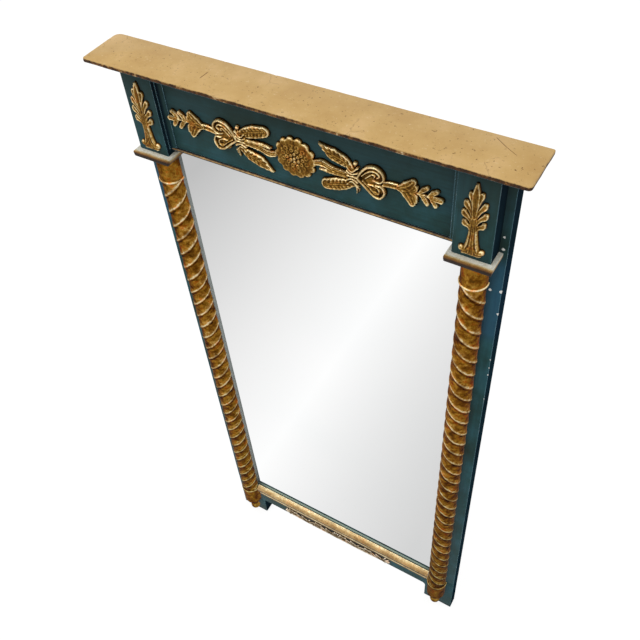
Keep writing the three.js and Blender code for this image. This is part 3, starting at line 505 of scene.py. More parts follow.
def gilded_composition(name, pale=False):
    """Pressed composition, gilded and glazed: bright gold with painted highlights up high, umber
    with painted shade below.
    """
    on = Finish(name)
    stops = [(0.0, "#150e05"), (0.22, "#3a280d"), (0.4, "#6f5120"),
             (0.58, "#9c7634"), (0.74, "#cfab62"), (0.9, "#ffedb8")]
    if pale:
        stops = [(0.0, "#14110b"), (0.3, "#2f2616"), (0.5, "#6b5a38"),
                 (0.66, "#a89c84"), (0.8, "#d6cdb8"), (0.95, "#f4eee0")]
    toned, fine = gold_leaf_tones(on, stops, 0.16, 12, 0.6)
    return on.shaded({
        "Base Color": toned, "Metallic": 0.75, "Roughness": 0.36,
        "Specular Tint": linear("#a08050"), "Normal": on.bump(0.4, 0.25, fine),
    })


def bronze_painted_board(name, edge_top):
    """Bronze-gold paint on a board: matt and pale, specked, its edge brown with rubbing and painted
    shade.
    """
    on = Finish(name)
    clouds = on.noise(45, 6, 0.6)
    paint = on.ramp(clouds, (0.3, "#be985c"), (0.5, "#c8a468"), (0.72, "#d6b27c"))
    # dust nibs and pinholes in the paint, drawn larger than they are so that they show
    grit = on.noise(3.8, 3, 0.75)
    paint = on.mix(on.share(grit, 0.365, 0.3, high=0.85), paint, "#6b4a22")
    paint = on.mix(on.share(grit, 0.62, 0.72, high=0.3), paint, "#efe0bd")
    # hairline cracks where the paint has shrunk
    bent = on.noise(9, 4, output="Color")
    plates = add_node(
        on.tree, "TexVoronoi",
        {"Vector": on.vector("MULTIPLY_ADD", bent, (0.012, 0.012, 0.0), on.place),
         "Scale": per_mm(30)},
        feature="DISTANCE_TO_EDGE",
    ).outputs["Distance"]
    cracks = on.all_of(on.share(plates, 0.022, 0.008), on.share(clouds, 0.54, 0.6, high=0.35))
    paint = on.mix(cracks, paint, "#7c5a30")
    for start, end, breadth in CORNICE_SCRATCHES:
        paint = on.mix(on.scratch(start, end, breadth), paint, "#7a5426")
    # the front edge and underside are brown: rubbed paint with painted shade
    ragged = on.noise(9, 6, 0.75)
    line = on.math("MULTIPLY_ADD", ragged, 3.2 * MM, on.split(on.place)[2])
    edge = on.share(line, edge_top + 1.5 * MM, edge_top + 1.0 * MM)
    brown = on.ramp(
        ragged, (0.34, "#1d1006"), (0.5, "#4d2d10"), (0.6, "#8f6028"), (0.68, "#e6cfa0")
    )
    waves = on.bump(0.25, 1.0, on.noise(22, 3))
    return on.shaded({
        "Base Color": on.mix(edge, paint, brown),
        "Metallic": 0.12,
        "Specular IOR Level": 0.25,
        "Roughness": on.share(clouds, low=0.42, high=0.62),
        "Normal": on.bump(0.5, 0.4, grit, Normal=waves),
    })


def gilt_moulding(name):
    """Gilded softwood moulding: smooth, with a painted highlight on its crown and painted shade
    underneath.
    """
    on = Finish(name)
    stops = [(0.0, "#130d06"), (0.25, "#2f2310"), (0.45, "#8f6c38"),
             (0.62, "#bf9a60"), (0.82, "#d3b67e"), (1.0, "#f6ecc0")]
    toned, fine = gold_leaf_tones(on, stops, 0.2, 16, 0.4)
    return on.shaded({
        "Base Color": toned, "Metallic": 0.4, "Roughness": on.share(fine, low=0.3, high=0.5)
    })


def rubbed_gesso(name, top, ledge):
    """Gesso with its gilding rubbed away: chalky cream above, gold left on the sides."""
    on = Finish(name)
    _, y, z = on.split(on.place)
    # the gold also stays on the front edge of the ledge, ahead of the middle of its top
    ahead = on.math("MINIMUM", on.math("SUBTRACT", y, ledge), 0.0)
    lowered = on.math("MULTIPLY_ADD", ahead, 0.95, z)
    ragged = on.math("MULTIPLY_ADD", on.noise(11, 6, 0.7), 4 * MM, lowered)
    cream = on.share(ragged, top - 5.4 * MM, top + 2.2 * MM)
    # toward its foot the capital turns dark brown: painted shade under the ledge
    colour = on.ramp(
        cream, (0.0, "#2c1a08"), (0.22, "#6e4719"), (0.5, "#a67a38"),
        (0.7, "#cdb684"), (0.82, "#dcd5bd"), (1.0, "#e4e2d6"),
    )
    fine = on.noise(2.5, 4, 0.7)
    mottle = on.ramp(fine, (0.3, "#b9a98a"), (0.6, "#ffffff"))
    return on.shaded({
        "Base Color": on.mix(0.5, colour, mottle, "MULTIPLY"),
        "Metallic": on.share(cream, 0.6, 0.3, high=0.45),
        "Roughness": 0.55,
        "Normal": on.bump(0.4, 0.25, fine),
    })


def silvered_plate(name):
    """Silvered plate glass: a clean mirror, with the faint grey-green of old plate."""
    on = Finish(name)
    tint = on.ramp(on.noise(240, 1), (0.3, "#fcfdfd"), (0.7, "#ffffff"))
    return on.shaded({"Base Color": tint, "Roughness": 0.02, "Metallic": 1.0})


def aged_pine(name):
    """Sawn pine left bare: darkened along its grain, dusty and dull."""
    on = Finish(name)
    along = on.stretched((1, 1, 0.05))
    wander = on.noise(60, 3, place=along, output="Color")
    bent = on.vector("MULTIPLY_ADD", wander, (0.03, 0.03, 0.0), along)
    rings = add_node(
        on.tree, "TexWave",
        {"Vector": bent, "Scale": per_mm(150), "Distortion": 3.0, "Detail": 3},
        bands_direction="X",
    ).outputs["Fac"]
    fibre = on.noise(1.5, 4, 0.7, along)
    wood = on.ramp(rings, (0.0, "#8d6c43"), (0.6, "#a98558"), (1.0, "#6d4d2c"))
    aged = on.mix(0.45, wood, bpy.context.scene.mirror_colours.pine)
    worn = on.ramp(fibre, (0.3, "#8c8275"), (0.7, "#ffffff"))
    return on.shaded({
        "Base Color": on.mix(0.6, aged, worn, "MULTIPLY"),
        "Roughness": 0.78,
        "Normal": on.bump(0.4, 0.3, fibre),
    })


def zinc_plated_steel(name):
    """Pressed steel, zinc plated: dull silver with a cloudy bloom."""
    on = Finish(name)
    bloom = on.noise(5, 4)
    return on.shaded({
        "Base Color": on.ramp(bloom, (0.3, "#8f8f8c"), (0.6, "#bfc1c1")),
        "Metallic": 1.0,
        "Roughness": on.share(bloom, low=0.28, high=0.45),
    })


def cached(name, maker, *details):
    """A material that several pieces share, made the first time it is asked for."""
    return bpy.data.materials.get(name) or maker(name, *details)


def paint(grain):
    """The boards' paint, brushed along their grain."""
    return cached(f"milk paint on pine, grain {grain}", milk_painted_pine, grain)


# ---- meshes ---------------------------------------------------------------------------


def piece(name, points, faces, material, stands_for=(), body=BODY, crest=None, flat=None):
    """A new mesh that rides on a body and stands for CAD nodes.

    crest is a value for each point, 1 on the crests of the carving and 0 in its hollows.
    Faces larger than flat, in square metres, are shaded flat, and the others smooth.
    """
    mesh = bpy.data.meshes.new(name)
    mesh.from_pydata([tuple(p) for p in points], [], [tuple(f) for f in faces])
    mesh.validate()
    mesh.materials.append(material)
    smooth = [flat is None or face.area < flat for face in mesh.polygons]
    mesh.polygons.foreach_set("use_smooth", smooth)
    mesh.set_sharp_from_angle(angle=SHADED_EDGE)
    if crest is not None:
        layer = mesh.attributes.new("crest", "FLOAT", "POINT")
        layer.data.foreach_set("value", np.asarray(crest, np.float32))
    made = bpy.data.objects.new(name, mesh)
    bpy.context.scene.collection.objects.link(made)
    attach(made, body)
    if stands_for:
        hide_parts(*stands_for)
    return made


def planed(node, name, material, arris, steps=2, reshape=None):
    """A sawn piece with its arrises taken off, over the outline of its CAD node."""
    solid = bmesh.new()
    solid.from_mesh(frame["nodes"][node].data)
    bmesh.ops.remove_doubles(solid, verts=solid.verts, dist=1e-5)
    if reshape:
        reshape(solid)
    bmesh.ops.dissolve_limit(
        solid, angle_limit=math.radians(1), verts=solid.verts, edges=solid.edges
    )
    arrises = [e for e in solid.edges if e.is_manifold and e.calc_face_angle(0) > PLANED_EDGE]
    bmesh.ops.bevel(
        solid, geom=arrises, offset=arris, offset_type="OFFSET", segments=steps,
        profile=0.6, affect="EDGES", clamp_overlap=True,
    )
    points = [v.co.copy() for v in solid.verts]
    solid.verts.index_update()
    faces = [[v.index for v in f.verts] for f in solid.faces]
    solid.free()
    return piece(name, points, faces, material, [node], flat=20 * MM * MM)


def tube(rings, count, start=0, turned=False):
    """Faces of a tube with flat ends, through rings of so many points each.

    turned is for rings that run the other way about the tube.
    """
    faces = []
    for ring in range(rings - 1):
        for i in range(count):
            j = (i + 1) % count
            a, b = start + ring * count, start + (ring + 1) * count
            faces.append((a + i, b + i, b + j, a + j) if turned else (a + i, a + j, b + j, b + i))
    last = start + (rings - 1) * count
    foot, head = tuple(range(start, start + count)), tuple(range(last, last + count))
    return faces + ([foot, head[::-1]] if turned else [foot[::-1], head])


def swept(name, sections, crest, material, stands_for):
    """A closed bar through rings of points, all of one length, with flat ends."""
    points = [p for section in sections for p in section]
    faces = tube(len(sections), len(sections[0]))
    return piece(name, points, faces, material, stands_for, crest=crest)


def half_round(name, rows, side, material, stands_for, around=72):
    """A turned or carved half column piece, its flat back let a little into the board.

    rows gives, from the bottom up, the height and a function from the angle about the
    axis (0 to the front) to the radius and the crest value there.
    """
    axis_y = BOARD_FACE - COLUMN_AXIS_PROJECTION * MM
    back = COLUMN_AXIS_PROJECTION + SINK
    sections, crest = [], []
    for z, at in rows:
        widest, _ = at(0.0)
        limit = math.pi - math.acos(min(1.0, back * MM / max(widest, back * MM * 1.001)))
        section = []
        for i in range(around + 1):
            angle = -limit + 2 * limit * i / around
            radius, worn = at(angle)
            section.append(
                (side * COLUMN_X + radius * math.sin(angle), axis_y - radius * math.cos(angle), z)
            )
            crest.append(worn)
        sections.append(section)
    return swept(name, sections, crest, material, stands_for)


def wobble(x, y, z, size, amount):
    """Slow unevenness of handwork, at this size and amount in metres."""
    return amount * noise.noise(Vector((x / size, y / size, z / size)))


# ---- relief ornament ------------------------------------------------------------------


def smooth_line(points, count=36):
    """Points along a smooth line through a few given ones."""
    p = np.array(points, float)
    p = np.vstack([2 * p[0] - p[1], p, 2 * p[-1] - p[-2]])
    t = np.linspace(0, len(p) - 3, count)
    k = np.minimum(t.astype(int), len(p) - 4)
    u = (t - k)[:, None]
    a, b, c, d = p[k], p[k + 1], p[k + 2], p[k + 3]
    return 0.5 * (
        2 * b + (c - a) * u + (2 * a - 5 * b + 4 * c - d) * u**2 + (3 * b - a - 3 * c + d) * u**3
    )


class Relief:
    """An ornament modelled over a flat ground, as heights over a grid. Millimetres."""

    def __init__(self, low, high, cell):
        across = np.arange(low[0], high[0] + cell, cell)
        up = np.arange(low[1], high[1] + cell, cell)
        self.x, self.z = np.meshgrid(across, up)
        self.cell = cell
        self.height = np.full(self.x.shape, -3.0)
        self.chance = np.random.default_rng(11)

    def lay(self, height):
        """Lays a form on what is there."""
        self.height = np.maximum(self.height, height)

    def press(self, depth):
        """Presses a hollow into what is there."""
        self.height = np.where(self.height > 0, self.height - np.maximum(depth, 0), self.height)

    def along(self, points):
        """Share along a smooth line and signed distance from it, for each grid point."""
        line = smooth_line(points)
        best = np.full(self.x.shape, 1e9)
        share = np.zeros(self.x.shape)
        signed = np.zeros(self.x.shape)
        for i in range(len(line) - 1):
            start, step = line[i], line[i + 1] - line[i]
            dx, dz = self.x - start[0], self.z - start[1]
            length = max(float(step @ step), 1e-9)
            t = np.clip((dx * step[0] + dz * step[1]) / length, 0, 1)
            ox, oz = dx - t * step[0], dz - t * step[1]
            far = np.hypot(ox, oz)
            closer = far < best
            best = np.where(closer, far, best)
            share = np.where(closer, (i + t) / (len(line) - 1), share)
            sign = np.sign(step[0] * dz - step[1] * dx)
            signed = np.where(closer, sign * far, signed)
        return share, signed

    def stem(self, points, widths, height):
        """A round stem or band along a line, its widths shared out along it."""
        share, signed = self.along(points)
        half = np.interp(share, np.linspace(0, 1, len(widths)), widths) / 2
        ratio = np.abs(signed) / half
        crown = height * np.sqrt(np.clip(1 - ratio**2, 0, 1))
        self.lay(np.where(ratio < 1, crown, half - np.abs(signed)))

    def leaf(self, points, widths, height, rim=0.3, vein=0.25, ribs=0, lean=0.5, cup=0.35,
             reeds=0.0):
        """A leaf along its vein: raised rim, hollowed blade, midrib, side ribs and reeds."""
        share, signed = self.along(points)
        half = np.interp(share, np.linspace(0, 1, len(widths)), widths) / 2
        ratio = np.abs(signed) / np.maximum(half, 1e-3)
        blade = np.sqrt(np.clip(1 - ratio**4, 0, 1)) * height
        hollow = cup * height * np.exp(-((ratio / 0.62) ** 4))
        edge = rim * height * np.exp(-(((ratio - 0.84) / 0.12) ** 2))
        midrib = vein * height * np.exp(-((np.abs(signed) / 0.9) ** 2))
        side = 0.0
        if ribs:
            side = 0.12 * height * np.cos(2 * np.pi * (share * ribs - lean * ratio))
            side = side * np.exp(-(((ratio - 0.5) / 0.3) ** 2))
        fluting = reeds * np.cos(2 * np.pi * signed / 2.6) * (ratio < 0.8)
        form = blade - hollow + edge + midrib + side + fluting
        self.lay(np.where(ratio < 1, form, half - np.abs(signed)))

    def boss(self, x, z, across, up, height, dimple=0.0, turn=0.0):
        """A rounded boss, such as a berry or a petal's swelling, dimpled or not."""
        dx, dz = self.x - x, self.z - z
        cos, sin = math.cos(turn), math.sin(turn)
        u, v = (dx * cos + dz * sin) / across, (dz * cos - dx * sin) / up
        ratio = np.hypot(u, v)
        crown = height * np.sqrt(np.clip(1 - ratio**2, 0, 1))
        crown = crown - dimple * height * np.exp(-((ratio / 0.45) ** 2))
        self.lay(np.where(ratio < 1, crown, (1 - ratio) * min(across, up)))

    def raised(self, by):
        """The same form, with all that stands above the ground made higher or lower."""
        self.height = np.where(self.height > 0, self.height * by, self.height)
        return self

    def blurred(self, field, radius):
        """The field, averaged over squares about this far across."""
        steps = max(1, int(round(radius / self.cell)))
        for axis in (0, 1):
            total = np.zeros_like(field)
            for shift in range(-steps, steps + 1):
                total += np.roll(field, shift, axis)
            field = total / (2 * steps + 1)
        return field

    def softened(self, field):
        """The field with its steps smoothed over neighbouring points."""
        for axis in (0, 1):
            field = 0.5 * field + 0.25 * (np.roll(field, 1, axis) + np.roll(field, -1, axis))
        return field

    def tooled(self, size, depth):
        """Uneven surface of a hand-finished casting, of this grain size and depth."""
        rows = int(self.x.shape[0] * self.cell / size) + 3
        columns = int(self.x.shape[1] * self.cell / size) + 3
        coarse = self.chance.normal(0, 1, (rows, columns))
        v = np.arange(self.x.shape[0]) * self.cell / size
        u = np.arange(self.x.shape[1]) * self.cell / size
        i, j = v.astype(int), u.astype(int)
        a, b = (v - i)[:, None], (u - j)[None, :]
        a, b = a * a * (3 - 2 * a), b * b * (3 - 2 * b)
        low = coarse[np.ix_(i, j)] * (1 - b) + coarse[np.ix_(i, j + 1)] * b
        high = coarse[np.ix_(i + 1, j)] * (1 - b) + coarse[np.ix_(i + 1, j + 1)] * b
        worn = depth * (low * (1 - a) + high * a)
        self.height = np.where(self.height > 0.6, self.height + worn, self.height)


def cast(node, relief, place, ground, material, side=1):
    """Turns a modelled relief into a closed casting, glued on the ground plane.

    place is the X and Z of the relief's own zero, and side -1 makes the mirror image.
    """
    relief.tooled(2.6, 0.16)
    relief.tooled(1.2, 0.12)
    height = relief.softened(relief.height)
    local = relief.blurred(np.maximum(height, 0), 1.3)
    wide = relief.blurred(np.maximum(height, 0), 3.2)
    # high points lighter, hollows and the foot darker: umber glaze with painted highlights and
    # painted shade
    crest = 0.5 + 0.36 * (height - local) + 0.16 * (height - wide)
    crest = np.clip(crest - 0.3 * np.exp(-np.maximum(height, 0) / 0.7), 0, 1)
    solid = height > -0.25
    keep = solid[:-1, :-1] | solid[1:, :-1] | solid[:-1, 1:] | solid[1:, 1:]
    keep[0, :] = keep[-1, :] = keep[:, 0] = keep[:, -1] = False
    used = np.zeros(height.shape, bool)
    for dz in (0, 1):
        for dx in (0, 1):
            used[dz : dz + keep.shape[0], dx : dx + keep.shape[1]] |= keep
    count = int(used.sum())
    index = np.full(height.shape, -1)
    index[used] = np.arange(count)
    x = place[0] + side * relief.x[used] * MM
    z = place[1] + relief.z[used] * MM
    front = ground - np.maximum(height[used], -0.5) * MM
    back = np.full(count, ground + SINK * MM)
    points = np.vstack([np.column_stack([x, front, z]), np.column_stack([x, back, z])])
    faces = []
    rows, columns = np.nonzero(keep)
    inside = np.pad(keep, 1)
    for r, c in zip(rows.tolist(), columns.tolist()):
        a, b = index[r, c], index[r, c + 1]
        d, e = index[r + 1, c], index[r + 1, c + 1]
        faces.append((a, b, e, d))
        faces.append((a + count, d + count, e + count, b + count))
        sides = ((r, c + 1, b, a), (r + 2, c + 1, d, e), (r + 1, c, a, d), (r + 1, c + 2, e, b))
        for row, column, i, j in sides:
            if not inside[row, column]:
                faces.append((i, j, j + count, i + count))
    if side < 0:
        faces = [tuple(reversed(face)) for face in faces]
    values = np.concatenate([crest[used], crest[used]])
    return piece(f"{node}_cast", points, faces, material, [node], crest=values)


def cell():
    """Modelling step in millimetres."""
    return bpy.context.scene.mirror_sizes.cell / MM * 1.0


def lift():
    """Share of the drawn relief that the ornament stands out."""
    return bpy.context.scene.mirror_sizes.relief / (5 * MM)


def model_rosette():
    """Rosette: broad overlapping petals with a bright scalloped rim, and a seeded cup."""
    form = Relief((-26, -26), (26, 26), cell())
    radius = np.hypot(form.x, form.z)
    form.lay(np.where(radius < 22.6, 3.6, 22.6 - radius))
    rings = [(14, 20, 5.6, 5.2), (12, 14.6, 4.0, 5.9), (10, 9.8, 3.3, 6.5), (6, 5.2, 2.6, 7.0)]
    for ring, (count, reach, size, height) in enumerate(rings):
        for i in range(count):
            turn = 2 * math.pi * (i + 0.5 * ring) / count
            form.boss(
                reach * math.cos(turn), reach * math.sin(turn), size, 0.96 * size,
                height, dimple=0.45, turn=turn,
            )
    form.boss(0, 0, 2.3, 2.3, 7.4, dimple=0.3)
    return form.raised(lift())


def model_wing_leaves(up=1):
    """A pointed and a blunt wing leaf and a husk, bound by a reeded knot, bead and tassel."""
    form = Relief((23, -32), (76, 31), cell())
    blade = {"rim": 0.16, "vein": 0.05, "cup": 0.2, "reeds": 0.3}
    form.leaf([(69, 8 * up), (59, 15 * up), (45, 20 * up), (30, 28.5 * up)],
              [6, 14, 16, 1], 4.6, ribs=8, lean=0.9, **blade)
    form.leaf([(69, -9 * up), (59, -13.5 * up), (49, -17 * up), (37, -20.5 * up)],
              [8, 14.5, 16.5, 14], 4.6, ribs=7, lean=-0.6, **blade)
    form.leaf([(23, 2 * up), (33, 4.5 * up), (44, 1.5 * up), (62, 0)], [6, 8, 6.5, 6], 4.8)
    form.leaf([(30, -3 * up), (40, -3.5 * up), (62, -3 * up)], [2, 5, 4], 4.4, rim=0.2, cup=0.2)
    for spread in (-1.0, -0.5, 0.0, 0.5, 1.0):
        form.stem(
            [(62.5, 11 * spread), (68, 6 * spread), (74.5, 11.5 * spread)], [3.4, 2.6, 3.2], 5.4
        )
    form.boss(71.6, 16.2, 2.6, 2.6, 4.8)
    form.stem([(71, 12), (71.5, 15)], [2, 1.6], 3)
    form.stem([(70, -9), (73, -14), (72.5, -21)], [2.6, 2.4, 1.2], 3.8)
    form.stem([(72, -10), (75, -14), (75, -18)], [2.2, 2, 1], 3.2)
    return form.raised(lift())


def model_heart_scroll():
    """Two bands that close to a heart, each curled round a small leaf."""
    form = Relief((73.6, -21), (107, 23), cell())
    for x, z, across, up in [(93, 9, 11.5, 9.5), (93.5, -8, 11.5, 9.5), (82, 0, 9, 7)]:
        ratio = np.hypot((form.x - x) / across, (form.z - z) / up)
        form.lay(np.where(ratio < 1, 2.6, (1 - ratio) * 10))
    form.stem(
        [(74, 0), (79, 9), (86, 16.5), (95, 18.5), (102, 14), (103.5, 7), (99, 2), (92, 3.5)],
        [3.4, 3.8, 4, 4, 3.6, 3, 2.6, 2.2], 5.2,
    )
    form.stem([(79, 4), (86, 11), (94, 14), (99, 10), (96, 6.5)], [2.6, 3, 3, 2.6, 2.4], 4.8)
    form.stem([(83, 2), (87.5, 6.5), (91, 9.5), (94, 8.6), (93, 6.4)], [2.4, 2.8, 2.4, 2.2, 2], 4.6)
    form.stem([(80, -2), (87, -7), (94, -13.2), (98.4, -12.6)], [2.6, 3, 2.8, 2.2], 4.5)
    form.stem(
        [(74, -1), (82, -7), (93, -16.4), (100, -17), (104.4, -10), (102, -3), (95, -2)],
        [3.2, 4.4, 4.4, 4, 3.4, 2.8, 2.2], 5.4,
    )
    form.stem([(86, -4), (92, -4), (98, -7), (98, -12), (93, -11)], [2, 2.4, 2.4, 2, 2], 4.4)
    form.boss(92.5, -8, 2.8, 2.4, 4.2, dimple=0.4)
    return form.raised(lift())


def model_bud_spray():
    """A reeded stem with paired leaves, ending in a spray of open buds."""
    form = Relief((100.5, -17), (168.5, 19.5), cell())
    form.stem([(102, 3.5), (112, 5.5), (124, 5.6), (136, 4.6), (146, 3.6), (158, 3)],
              [2.6, 3, 2.6, 2.2, 2, 1.4], 3.4)
    form.stem([(102, -1), (112, 0.5), (124, 1.2), (138, 3), (148, 4)], [3, 3.4, 2.6, 2, 1.6], 3.4)
    form.stem([(103, 1), (112, 3), (122, 3.4)], [3, 3, 1.5], 2.6)
    for hand, tip in ((1, 14.5), (-1, -11)):
        form.leaf([(120, 3), (128, 3.5 + 3.5 * hand), (135, tip)], [6, 13, 8], 4.4,
                  rim=0.25, cup=0.3)
        form.leaf([(132, 3), (137.5, 3 + 4 * hand), (139, 0.7 * tip)], [4, 6, 4], 4.8, rim=0.2)
    for x, z, root in [(150, 12.5, 141), (160.5, 11.5, 151), (151, -6, 142), (160, -5.5, 152)]:
        middle = ((root + x) / 2 + 0.5, (z + 5.5) / 2)
        form.leaf([(root, 3.6), middle, (x, z)], [2.2, 6, 5], 4.6, cup=0.4)
        form.boss(x - 0.4, z, 2.3, 2.3, 4.8, dimple=0.3)
    form.leaf([(152, 3.4), (158, 3), (165, 2.4)], [2.5, 6, 6.5], 4.8, cup=0.4)
    form.boss(164.4, 2.4, 3.2, 3, 5.0, dimple=0.4)
    return form.raised(lift())


def model_palmette():
    """Palmette: fat curled lobes round a tall leaf, on a skirt that flares to two scrolls."""
    form = Relief((-14.5, -2), (14.5, 86), 0.85 * cell())
    form.leaf([(0, 1), (0, 12), (0, 26), (0, 42)], [22, 14, 10, 9], 3.4,
              rim=0.2, vein=0.2, cup=0.15)
    for shift in (-3.4, -1.1, 1.1, 3.4):
        form.stem([(2.3 * shift, 1), (1.35 * shift, 12), (0.95 * shift, 24), (0.7 * shift, 44)],
                  [3.4, 2.6, 2.2, 1.8], 4.1)
    lobes = [(5.2, 73, 50, 6.2), (9.4, 62, 43, 6.4), (10.8, 50.5, 35, 6.6), (9.8, 39, 27, 6.2)]
    for hand in (-1, 1):
        for tip_x, tip_z, root_z, width in lobes:
            tip_x, tip_z = tip_x * hand, tip_z + 0.7 * hand
            form.leaf(
                [(1.0 * hand, root_z), (0.5 * tip_x, 0.5 * (root_z + tip_z) + 1),
                 (0.9 * tip_x, tip_z - 2.5), (tip_x, tip_z)],
                [1.8, 4.2, width, 0.8 * width], 4.2, rim=0.25, vein=0.0, cup=0.25,
            )
    form.leaf([(0, 46), (0, 60), (-0.2, 73), (-0.4, 84)], [4.4, 7, 8.4, 3], 5.0,
              rim=0.25, vein=0.0, cup=0.3)
    for hand in (-1, 1):
        form.stem([(3 * hand, 6), (6 * hand, 2.6), (10.4 * hand, 3.4)], [4, 4.4, 4.6], 4.2)
        form.boss(10.4 * hand, 4.4, 3.4, 3.6, 5, dimple=0.35)
    return form.raised(lift())


def model_apron_scroll():
    """A running scroll: a waving stem, curled leaves in its hollows, a shell at each end."""
    form = Relief((-116, -12.5), (116, 12.5), cell())
    waves, length = 4, 216
    line = [(x, 4.6 * math.sin(2 * math.pi * waves * x / length)) for x in range(-104, 105, 8)]
    _, signed = form.along(line)
    crown = 3.2 * np.sqrt(np.clip(1 - (np.abs(signed) / 1.9) ** 2, 0, 1))
    form.lay(np.where(np.abs(signed) < 1.9, crown, 1.9 - np.abs(signed)))
    form.stem([(-100, -8), (-40, -9), (40, -9), (84, -8)], [2.6, 3.4, 3.4, 2.4], 2.8)
    for i in range(-waves, waves):
        x = (i + 0.5) * length / waves / 2
        up = 1 if i % 2 == 0 else -1
        form.leaf([(x - 9, -5 * up), (x - 2, 1 * up), (x + 7, 7.6 * up)], [3, 7, 1.6], 3.2,
                  rim=0.4, ribs=4)
        form.leaf([(x + 8, -4 * up), (x + 2, 3 * up), (x - 6, 7.4 * up)], [2.5, 5.4, 1.4], 3.0,
                  rim=0.4)
        form.boss(x, 0.5 * up, 2.6, 2.6, 3.8, dimple=0.35)
    form.boss(0, 0, 7.4, 8.2, 3.4, dimple=0.1)
    for i in range(7):
        turn = math.pi * i / 6
        form.stem([(0, -3), (7.4 * math.cos(turn), -3 + 12 * math.sin(turn))], [1.4, 2.6], 3.8)
    for hand in (-1, 1):
        for i in range(5):
            turn = math.radians(-70 + 35 * i)
            form.stem(
                [(hand * 100, 0), (hand * (100 + 13 * math.cos(turn)), 9.4 * math.sin(turn))],
                [1.8, 3.4], 3.6,
            )
    return form.raised(0.85)


# ---- operators: one for each piece or group of like pieces ------------------------------


def trim_lip(solid):
    """Planes back the stile's lip over the glass, between the rails."""
    low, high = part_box("mirror_glass")
    inner = min(abs(v.co.x) for v in solid.verts)
    bottom, top = low.z + GLASS_LAP * MM, high.z - GLASS_LAP * MM
    for z in (bottom, bottom + 0.1 * MM, top - 0.1 * MM, top):
        bmesh.ops.bisect_plane(
            solid, geom=[*solid.verts, *solid.edges, *solid.faces], dist=1e-6,
            plane_co=(0, 0, z), plane_no=(0, 0, 1),
        )
    for v in solid.verts:
        at_lip = abs(abs(v.co.x) - inner) < 0.05 * MM
        if at_lip and bottom + 0.05 * MM < v.co.z < top - 0.05 * MM:
            v.co.x += math.copysign(LIP_TRIM * MM, v.co.x)


def straighten(solid):
    """Brings the capital's lower arrises out, so that its sides stand nearly plumb."""
    low = min(v.co.z for v in solid.verts)
    front = min(v.co.y for v in solid.verts)
    left, right = min(v.co.x for v in solid.verts), max(v.co.x for v in solid.verts)
    for v in solid.verts:
        if v.co.z < low + 1 * MM:
            v.co.x = left + 0.6 * MM if v.co.x < (left + right) / 2 else right - 0.6 * MM
            if v.co.y < front + 6 * MM:
                v.co.y = front + 0.6 * MM


class MIRROR_OT_boards(bpy.types.Operator):
    """Plane the arrises of the painted boards and paint them"""

    bl_idname = "mirror.boards"
    bl_label = "Painted boards"

    def execute(self, context):
        arris = context.scene.mirror_sizes.arris
        upright = ["stile_left", "stile_right", "block_left", "block_right",
                   "frieze_cove_left", "frieze_cove_right"]
        lying = ["top_rail", "base_board", "frieze_board", "cornice_bed_board"]
        for node in upright:
            rounding = 0.4 * arris if "cove" in node else arris
            trim = trim_lip if "stile" in node else None
            planed(node, f"{node}_painted", paint("Z"), rounding, reshape=trim)
        for node in lying:
            planed(node, f"{node}_painted", paint("X"), arris)
        return {"FINISHED"}


class MIRROR_OT_cornice(bpy.types.Operator):
    """Make the thin cornice board, its corners and front edge worn by handling"""

    bl_idname = "mirror.cornice"
    bl_label = "Cornice board"

    def execute(self, context):
        low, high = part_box("cornice_board")
        outline = self.outline(low, high)
        arris = CORNICE_ARRIS * MM
        eased = [(arris, 0.0), (0.35 * arris, 0.3 * arris), (0.0, arris)]
        rings = [(inset, low.z + rise) for inset, rise in eased]
        rings += [(inset, high.z - rise) for inset, rise in reversed(eased)]
        centre = Vector(((low.x + high.x) / 2, (low.y + high.y) / 2, 0))
        points = []
        for inset, z in rings:
            for x, y in outline:
                inward = (centre - Vector((x, y, 0))).normalized()
                gap = inset + arris * 0.35 * abs(noise.noise(Vector((x * 60, y * 60, z * 400))))
                if z > (low.z + high.z) / 2:
                    gap += max(0.0, wobble(x, y, 1.0, 9 * MM, 1.6 * MM) - 0.45 * MM)
                step_x = math.copysign(min(abs(inward.x) * 6, 1), inward.x) * gap
                step_y = math.copysign(min(abs(inward.y) * 6, 1), inward.y) * gap
                points.append((x + step_x, y + step_y, z))
        finish = cached("bronze paint on a worn board", bronze_painted_board, high.z - arris)
        piece("cornice_board_worn", points, tube(len(rings), len(outline)), finish,
              ["cornice_board"], flat=200 * MM * MM)
        return {"FINISHED"}

    def outline(self, low, high):
        """Outline from above, anticlockwise, each corner worn to its own radius."""
        corners = [
            (high.x, low.y, -90, CORNER_WEAR["front_right"]),
            (high.x, high.y, 0, CORNER_WEAR["back_right"]),
            (low.x, high.y, 90, CORNER_WEAR["back_left"]),
            (low.x, low.y, 180, CORNER_WEAR["front_left"]),
        ]
        turned = []
        for x, y, start, wear in corners:
            r = wear * MM
            cx = x - math.copysign(r, x)
            cy = y + r if y == low.y else y - r
            for i in range(7):
                angle = math.radians(start + 15 * i)
                turned.append((cx + r * math.cos(angle), cy + r * math.sin(angle)))
        line = []
        for i, here in enumerate(turned):
            there = turned[(i + 1) % len(turned)]
            gap = math.dist(here, there)
            pieces = max(1, round(gap / (2.5 * MM)))
            for k in range(pieces):
                line.append((here[0] + (there[0] - here[0]) * k / pieces,
                             here[1] + (there[1] - here[1]) * k / pieces))
        return line


class MIRROR_OT_glass(bpy.types.Operator):
    """Silver the plate glass"""

    bl_idname = "mirror.glass"
    bl_label = "Mirror glass"

    def execute(self, context):
        # the plate shows the pale room and none of the frame, as it does in the photograph
        for made in context.scene.objects:
            made.visible_glossy = not made.name.startswith(UNSEEN_IN_THE_GLASS)
        glass = frame["nodes"]["mirror_glass"]
        glass.data.materials.clear()
        glass.data.materials.append(cached("silvered plate glass", silvered_plate))
        return {"FINISHED"}


